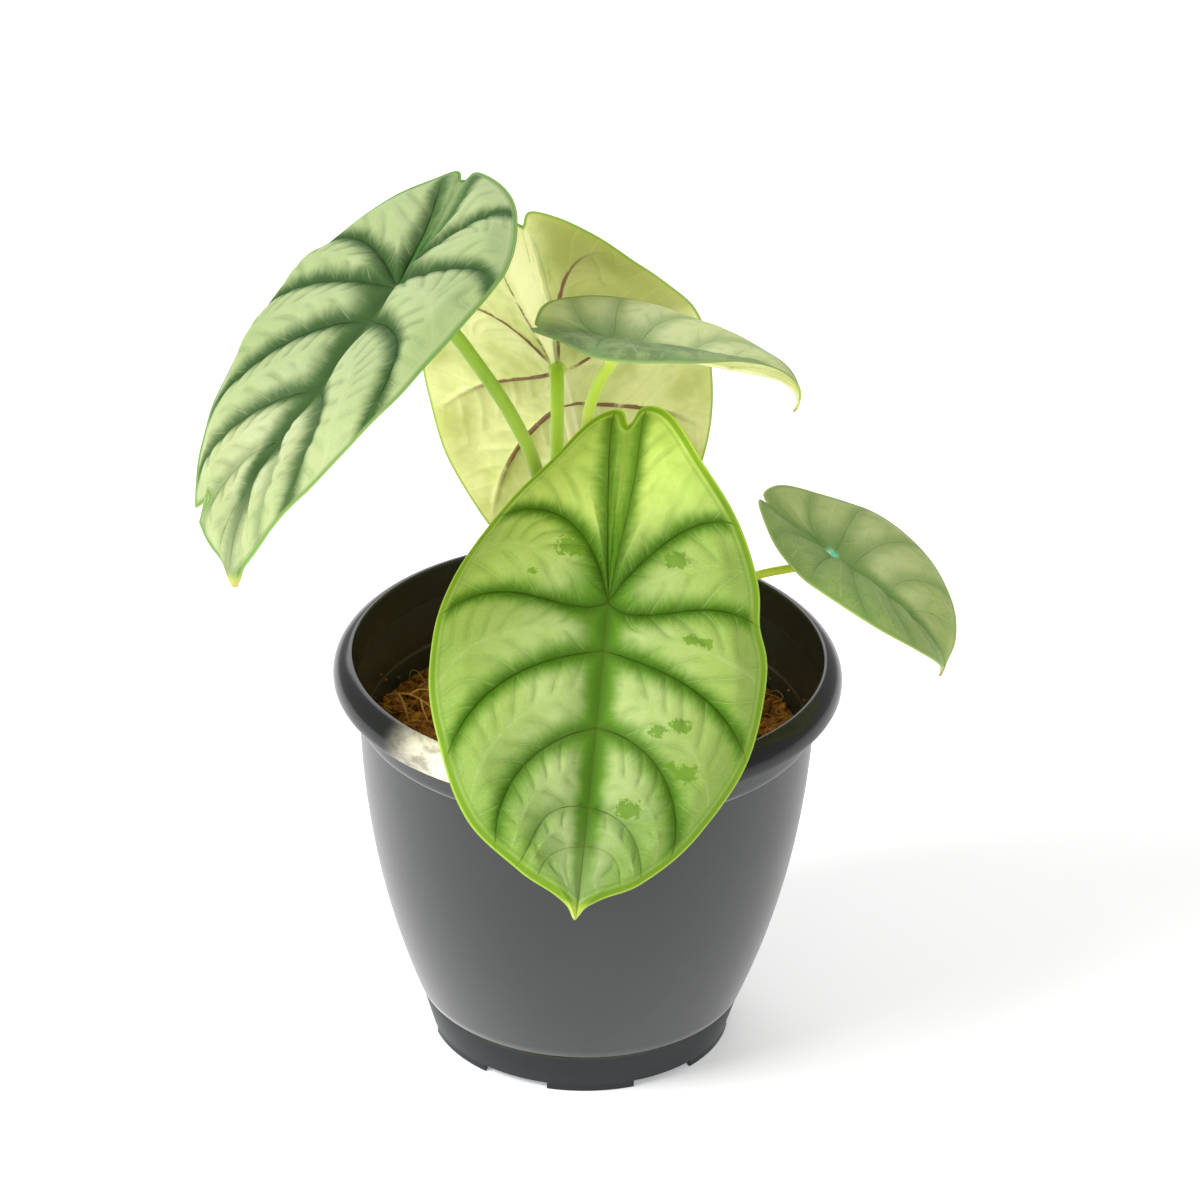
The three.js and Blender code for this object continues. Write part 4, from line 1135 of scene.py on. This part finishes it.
# A smooth curve through the points, centripetal as the solids' curve is, at even steps
def smoothCourse(points, count):
    ends, course = withEnds(points), []
    for i in range(len(points) - 1):
        p = ends[i:i + 4]
        knots = distanceRun(p, 0.5)
        for t in np.linspace(knots[1], knots[2], stalkBuild["curveSteps"], endpoint=False):
            level = list(p)
            for reach in (1, 2):
                level = [(knots[k + reach] - t) / (knots[k + reach] - knots[k]) * level[k]
                         + (t - knots[k]) / (knots[k + reach] - knots[k]) * level[k + 1]
                         for k in range(4 - reach)]
            course.append((knots[2] - t) / (knots[2] - knots[1]) * level[0]
                          + (t - knots[1]) / (knots[2] - knots[1]) * level[1])
    course = np.array(course + [points[-1]])
    run = distanceRun(course)
    even = np.linspace(0, run[-1], count)
    return np.column_stack([np.interp(even, run, course[:, k]) for k in range(3)])


# Geometry Nodes tube: a path of points with their own radii, swept by a round profile
def tubeTree(name, material):
    tree, board, given, inputs = openTree(name, {"Sides": "Int"})
    path = board.node("GeometryNodeMeshToCurve", None, {0: given})
    profile = board.node("GeometryNodeCurvePrimitiveCircle", None,
                         {"Resolution": given.also("Sides"), "Radius": 1.0})
    thick = board.node("GeometryNodeInputNamedAttribute", {"data_type": "FLOAT"}, {"Name": "thick"})
    swept = board.node("GeometryNodeCurveToMesh", None,
                       {0: path, 1: profile, "Scale": thick, "Fill Caps": True})
    closeTree(board, swept, material)
    return tree, inputs


# Paths as loose edges, with the radius and the share of the way run at each point
def makeTubes(name, paths, sides, material):
    points, edges, thick, runs = [], [], [], []
    for course, radii in paths:
        edges += [(len(points) + i, len(points) + i + 1) for i in range(len(course) - 1)]
        run = distanceRun(course)
        points += list(course)
        thick += list(radii)
        runs += list(run / max(run[-1], 1e-9))
    mesh = bpy.data.meshes.new(name)
    mesh.from_pydata((np.array(points) * millimetre).tolist(), edges, [])
    addField(mesh, "thick", np.array(thick) * millimetre)
    addField(mesh, "run", np.array(runs))
    return growTree(addObject(name, mesh), *tubeTree(name + "Tree", material), {"Sides": sides})


stalkLook = {
    "skin": (0.32, 0.49, 0.045), "pale": (0.46, 0.61, 0.10), "foot": (0.40, 0.50, 0.08),
    "fleck": (0.24, 0.40, 0.03), "flesh": (0.25, (0.8, 1.0, 0.3), 0.002),
}


def stalkMaterial(name, look, tint):
    material, board = newMaterial("stalkSkin_" + name, look["skin"])
    run = board.field("run")
    streaks = board.noise(board.place(1, 1, 0.12), 900, 3, 0.6)
    cloud = board.noise(board.place(), 35, 2)
    paint = Paint(board, look["skin"])
    paint.lay(board.smooth(cloud, 0.35, 0.7), look["pale"])
    paint.lay(board.smooth(streaks, 0.45, 0.75) * 0.35, look["pale"])
    paint.lay(board.patches(board.place(1, 1, 0.35), 420, 0.68, 0.74, 2, 0.5) * 0.4, look["fleck"])
    paint.lay(board.fade(run, 0.05, 0.28) * 0.8, look["foot"])
    paint.lay(board.smooth(run, 0.93, 1.0) * 0.8, look["pale"])
    paint.lay(1, tint, "MULTIPLY")
    finishMaterial(board, paint.colour, 0.30 + 0.15 * cloud, streaks, 0.00008, look["flesh"],
                   Specular_IOR_Level=0.3)
    return material


def makeStalks(build):
    for name, leaf in leaves.items():
        skin = stalkMaterial(name, stalkLook, leaf["stalkTint"])
        course = smoothCourse(stalkCourse(leaf), build["steps"])
        share, top = np.linspace(0, 1, len(course)), leaf["stalkTop"]
        radii = top + (build["sheath"] - top) * (1 - ramp(share, 0, build["sheathLength"]))
        radii = radii + build["flare"] * ramp(share, 1 - build["flareLength"], 1)
        stalk = makeTubes("stalk" + name.capitalize(), [(course, radii)], build["sides"], skin)
        dress(stalk, "petiole", "petiole_" + name)


makeStalks(stalkBuild)
print("petioles made")


# Crown: a short scarred stem, dull where old leaf bases have dried

crown = {
    "radius": 9.5, "foot": 60, "toe": 2.5, "ringSpacing": 3.5, "ringDepth": 0.45, "ringIn": 0.2,
    "ringsTop": 89.5, "sides": 64, "steps": 60, "lump": 0.035, "lumpMost": 1.02, "lumpScale": 5,
    "shoulder": [(8.4, 90.6), (7.2, 92.4), (5.4, 93.6), (3.2, 94.0), (0, 94.0)],
}
crownLook = {
    "skin": (0.30, 0.36, 0.09), "dry": (0.20, 0.11, 0.045), "ring": (0.12, 0.07, 0.03),
    "dryTo": (0.080, 0.092),
}


def crownMaterial(look):
    material, board = newMaterial("crownSkin", look["skin"])
    _, _, height = board.split(board.spot())
    fibres = board.noise(board.place(1, 1, 0.15), 700, 4, 0.7)
    cloud = board.noise(board.place(), 120)
    paint = Paint(board, look["skin"])
    paint.lay(board.fade(height + (cloud - 0.5) * 0.012, *look["dryTo"]), look["dry"])
    paint.lay(board.smooth(fibres, 0.5, 0.75) * 0.5, look["ring"])
    finishMaterial(board, paint.colour, 0.55 + 0.2 * cloud, fibres, 0.0003, Specular_IOR_Level=0.3)
    return material


def makeCrown(plan, material):
    profile = [(0, plan["foot"]), (plan["radius"] - plan["toe"], plan["foot"])]
    for z in np.linspace(plan["foot"] + plan["toe"], plan["ringsTop"], plan["steps"]):
        ring = plan["ringDepth"] * (0.5 + 0.5 * math.cos(2 * math.pi * z / plan["ringSpacing"])) ** 3
        profile.append((plan["radius"] - plan["ringIn"] - ring, z))
    points, faces = latheFaces(profile + plan["shoulder"], plan["sides"])
    points = np.array(points, float)
    bulge = 1 + plan["lump"] * waves(points[:, 0], points[:, 1] + points[:, 2], plan["lumpScale"], 2)
    points[:, :2] *= np.minimum(bulge, plan["lumpMost"])[:, None]
    made = meshObject("crownStem", points, faces, [material])
    dress(made, "crown", "crown")


makeCrown(crown, crownMaterial(crownLook))
print("crown made")


# Potting mix: a lumpy top, with crumbs and coir fibres grown on it

soil = {
    "level": 82, "floor": 5.9, "lump": 1.6, "grit": 0.55, "clearance": 0.3, "rings": 90, "turns": 220,
    "foot": (38.0, 38.5), "footRise": 0.3, "wallFrom": 7, "wallSteps": 60,
    "crownEdge": (9.5, 17.5), "wallEdge": (48, 56), "gritEdges": [(9.8, 12), (54, 56.5)],
    "crumbs": {"density": 0.19, "small": 0.5, "large": 1.9, "seed": 7},
    "dustCrumbs": {"density": 0.42, "small": 0.18, "large": 0.62, "seed": 19},
    "wallCrumbs": {"density": 0.020, "small": 0.18, "large": 0.75, "seed": 29}, "wallCrumbsAt": (83, 91),
    "patch": {"from": 11, "inside": 0.8, "rings": 60, "turns": 120, "offWall": 0.05},
    "fibres": {
        "count": 210, "steps": 10, "length": (5, 15), "radius": (0.06, 0.14), "within": (11, 55.5),
        "startWithin": (13, 54), "lift": (0.2, 2.2), "above": 0.5, "bend": 0.10, "wander": 0.16,
        "thinned": 0.6, "sides": 5, "seed": 5,
    },
}
soilLook = {
    "dark": (0.055, 0.019, 0.005), "brown": (0.38, 0.155, 0.028), "red": (0.62, 0.27, 0.05),
    "straw": (0.62, 0.40, 0.09),
}


# Height of the mix at a place: low lumps and grit that die out at the crown and at the wall
def soilHeight(x, y):
    lumps = np.sin(0.31 * x + 1.3) * np.cos(0.27 * y + 0.4) + 0.7 * np.sin(0.19 * x - 0.37 * y)
    lumps = lumps + 0.5 * np.cos(0.53 * x + 0.41 * y + 2)
    r = np.hypot(x, y)
    level = ramp(r, *soil["crownEdge"]) * (1 - ramp(r, *soil["wallEdge"]))
    grit = soil["grit"] * waves(x, y, 1.3, 8) + 0.5 * soil["grit"] * waves(x, y, 0.6, 9)
    inner, outer = soil["gritEdges"]
    return soil["level"] + soil["lump"] * lumps * level + grit * (1 - ramp(r, *outer)) * ramp(r, *inner)


def soilMaterial(look):
    material, board = newMaterial("pottingMix", look["brown"])
    grain = board.noise(board.place(), 330, 6, 0.75)
    stops = [(0.3, look["dark"]), (0.72, look["red"]), (0.52, look["brown"])]
    paint = Paint(board, board.node("ShaderNodeValToRGB", {"stops": stops}, {0: grain}))
    paint.lay(board.patches(board.place(), 90, 0.4, 0.7) * 0.5, look["dark"])
    paint.lay(board.patches(board.place(1, 1, 0.4), 700, 0.70, 0.75, 2) * 0.6, look["straw"])
    finishMaterial(board, paint.colour, 0.92, grain, 0.0006, Specular_IOR_Level=0.15)
    return material


def strawMaterial(look):
    material, board = newMaterial("coirFibre", look["straw"])
    colour = board.mix(board.patches(board.place(), 120, 0.3, 0.7, 2), look["straw"], look["red"])
    finishMaterial(board, colour, 0.7, board.noise(board.place(), 1500, 2), 0.00005)
    return material


def makeSoilBody(material):
    gap, level, floor = soil["clearance"], soil["level"], soil["floor"]
    wall = bezier(innerCurve(), np.linspace(0, 1, soil["wallSteps"]))
    rim, (bottom, foot) = np.interp(level, wall[:, 1], wall[:, 0]) - gap, soil["foot"]
    side = [(foot, floor + soil["footRise"])]
    side += [(r - gap, z) for r, z in wall if soil["wallFrom"] < z < level]
    hole = crown["radius"] + gap
    profile = [(0, floor), (bottom, floor), *side]
    profile += [(r, level) for r in np.linspace(rim, hole, soil["rings"])]
    profile += [(hole, crown["foot"] - gap), (0, crown["foot"] - gap)]
    points, faces = latheFaces(profile, soil["turns"])
    points = np.array(points, float)
    top = points[:, 2] > level - 0.001
    points[top, 2] = soilHeight(points[top, 0], points[top, 1])
    made = meshObject("pottingMix", points, faces, [material])
    dress(made, "soil", "soil")
    return rim


# Crumbs strewn on a patch of surface: small round lumps, then knocked out of round by noise
def crumbTree(name, material):
    tree, board, given, inputs = openTree(
        name, {"Density": "Float", "Small": "Float", "Large": "Float", "Seed": "Int"})
    seed, large = given.also("Seed"), given.also("Large")
    spread = board.node("GeometryNodeDistributePointsOnFaces", None,
                        {"Mesh": given, "Density": given.also("Density"), "Seed": seed})
    lump = board.node("GeometryNodeMeshIcoSphere", None, {"Radius": 1.0, "Subdivisions": 2})
    size = board.node("FunctionNodeRandomValue", {"data_type": "FLOAT"},
                      {2: given.also("Small"), 3: large, "Seed": seed}, out=1)
    squat, turn = (
        board.node("FunctionNodeRandomValue", {"data_type": "FLOAT_VECTOR"}, {0: low, 1: high, "Seed": k})
        for k, low, high in ((3, (0.6, 0.5, 0.4), (1.5, 1.0, 0.8)), (4, (-0.6, -0.6, 0), (0.6, 0.6, 6.28))))
    scale = board.node("ShaderNodeVectorMath", {"operation": "SCALE"}, {0: squat, "Scale": size})
    placed = board.node("GeometryNodeInstanceOnPoints", None,
                        {"Points": spread, "Instance": lump, "Rotation": turn, "Scale": scale})
    realized = board.node("GeometryNodeRealizeInstances", None, {0: placed})
    spot = board.node("GeometryNodeInputPosition")
    dent = board.node("ShaderNodeTexNoise", None, {"Vector": spot, "Scale": 420.0, "Detail": 2.0}, out=1)
    push = board.node("ShaderNodeVectorMath", {"operation": "SUBTRACT"}, {0: dent, 1: (0.5, 0.5, 0.5)})
    pushed = board.node("ShaderNodeVectorMath", {"operation": "SCALE"}, {0: push, "Scale": large * 1.5})
    rough = board.node("GeometryNodeSetPosition", None, {"Geometry": realized, "Offset": pushed})
    closeTree(board, rough, material)
    return tree, inputs


# Strews one size of crumb and counts its faces
def makeCrumbs(name, patch, plan, material):
    made = meshObject(name, *patch, [material])
    values = {"Density": plan["density"] / millimetre ** 2, "Small": plan["small"] * millimetre,
              "Large": plan["large"] * millimetre, "Seed": plan["seed"]}
    growTree(made, *crumbTree(name + "Tree", material), values)
    dress(made, "soil")
    return len(made.data.polygons)


# An open ring of surface that crumbs are strewn on
def ringPatch(profile, turns, height=None):
    points, faces = latheFaces(profile, turns)
    if height:
        points = [(x, y, height(np.array([x]), np.array([y]))[0]) for x, y, _ in points]
    return points, [[a, d, c, b] for a, b, c, d in faces]


def makeFibres(plan, material):
    random, paths, steps = np.random.default_rng(plan["seed"]), [], plan["steps"]
    (nearest, farthest), (low, high) = plan["within"], plan["startWithin"]
    for _ in range(plan["count"]):
        r, turn = math.sqrt(random.uniform(low ** 2, high ** 2)), random.uniform(0, 2 * math.pi)
        heading, bend = random.uniform(0, 2 * math.pi), random.normal(0, plan["bend"])
        length, lift = random.uniform(*plan["length"]), random.uniform(*plan["lift"])
        spot, course = np.array([r * math.cos(turn), r * math.sin(turn)]), []
        for i in range(steps):
            far = np.hypot(*spot)
            if far > farthest:
                spot = spot / far * farthest
            if far < nearest:
                spot = spot / far * nearest
            rise = lift * math.sin(math.pi * i / (steps - 1)) + plan["above"]
            course.append((*spot, soilHeight(spot[:1], spot[1:])[0] + rise))
            spot = spot + length / (steps - 1) * np.array([math.cos(heading), math.sin(heading)])
            heading += bend + random.normal(0, plan["wander"])
        radius = random.uniform(*plan["radius"])
        paths.append((np.array(course), np.full(steps, radius) * np.linspace(1, plan["thinned"], steps)))
    made = makeTubes("coirFibres", paths, plan["sides"], material)
    dress(made, "soil")


# The one pale root that lies branching on the mix, to the left of the front blade
rootStrand = {
    "branches": [
        [(-52, 16, 84.8), (-49, 13.5, 86.8), (-46, 12.4, 87.3), (-43, 11, 86.6), (-39, 9, 84.6)],
        [(-49, 13.5, 86.8), (-47.6, 9.5, 86.9), (-46.2, 5, 84.8)],
        [(-46, 12.4, 87.3), (-43.5, 15, 87.4), (-40.5, 16.6, 86.4)],
        [(-43, 11, 86.6), (-42.3, 7, 86.2), (-40.8, 3.5, 84.4)],
    ],
    "radius": 0.42, "branchScale": 0.7, "tipScale": 0.45, "steps": 30, "sides": 8,
}


def makeRootStrand(plan, material):
    paths, steps = [], plan["steps"]
    for i, branch in enumerate(plan["branches"]):
        radius = plan["radius"] * (1 if i == 0 else plan["branchScale"])
        course = smoothCourse(np.array(branch, float), steps)
        paths.append((course, radius * np.linspace(1, plan["tipScale"], steps)))
    dress(makeTubes("rootStrand", paths, plan["sides"], material), "soil")


mixSkin, strawSkin = soilMaterial(soilLook), strawMaterial(soilLook)
soilRim = makeSoilBody(mixSkin)
patch, (low, high) = soil["patch"], soil["wallCrumbsAt"]
topRing = [(r, 0) for r in np.linspace(patch["from"], soilRim - patch["inside"], patch["rings"])]
topPatch = ringPatch(topRing[::-1], patch["turns"], soilHeight)
wallCurve = bezier(innerCurve(), np.linspace(0, 1, soil["wallSteps"]))
wallRing = [(r - patch["offWall"], z) for r, z in wallCurve if low < z < high]
crumbFaces = makeCrumbs("soilCrumbs", topPatch, soil["crumbs"], mixSkin)
crumbFaces += makeCrumbs("soilGrit", topPatch, soil["dustCrumbs"], mixSkin)
crumbFaces += makeCrumbs("wallCrumbs", ringPatch(wallRing, patch["turns"]), soil["wallCrumbs"], mixSkin)
makeFibres(soil["fibres"], strawSkin)
makeRootStrand(rootStrand, strawSkin)
print("potting mix made:", crumbFaces, "crumb faces")
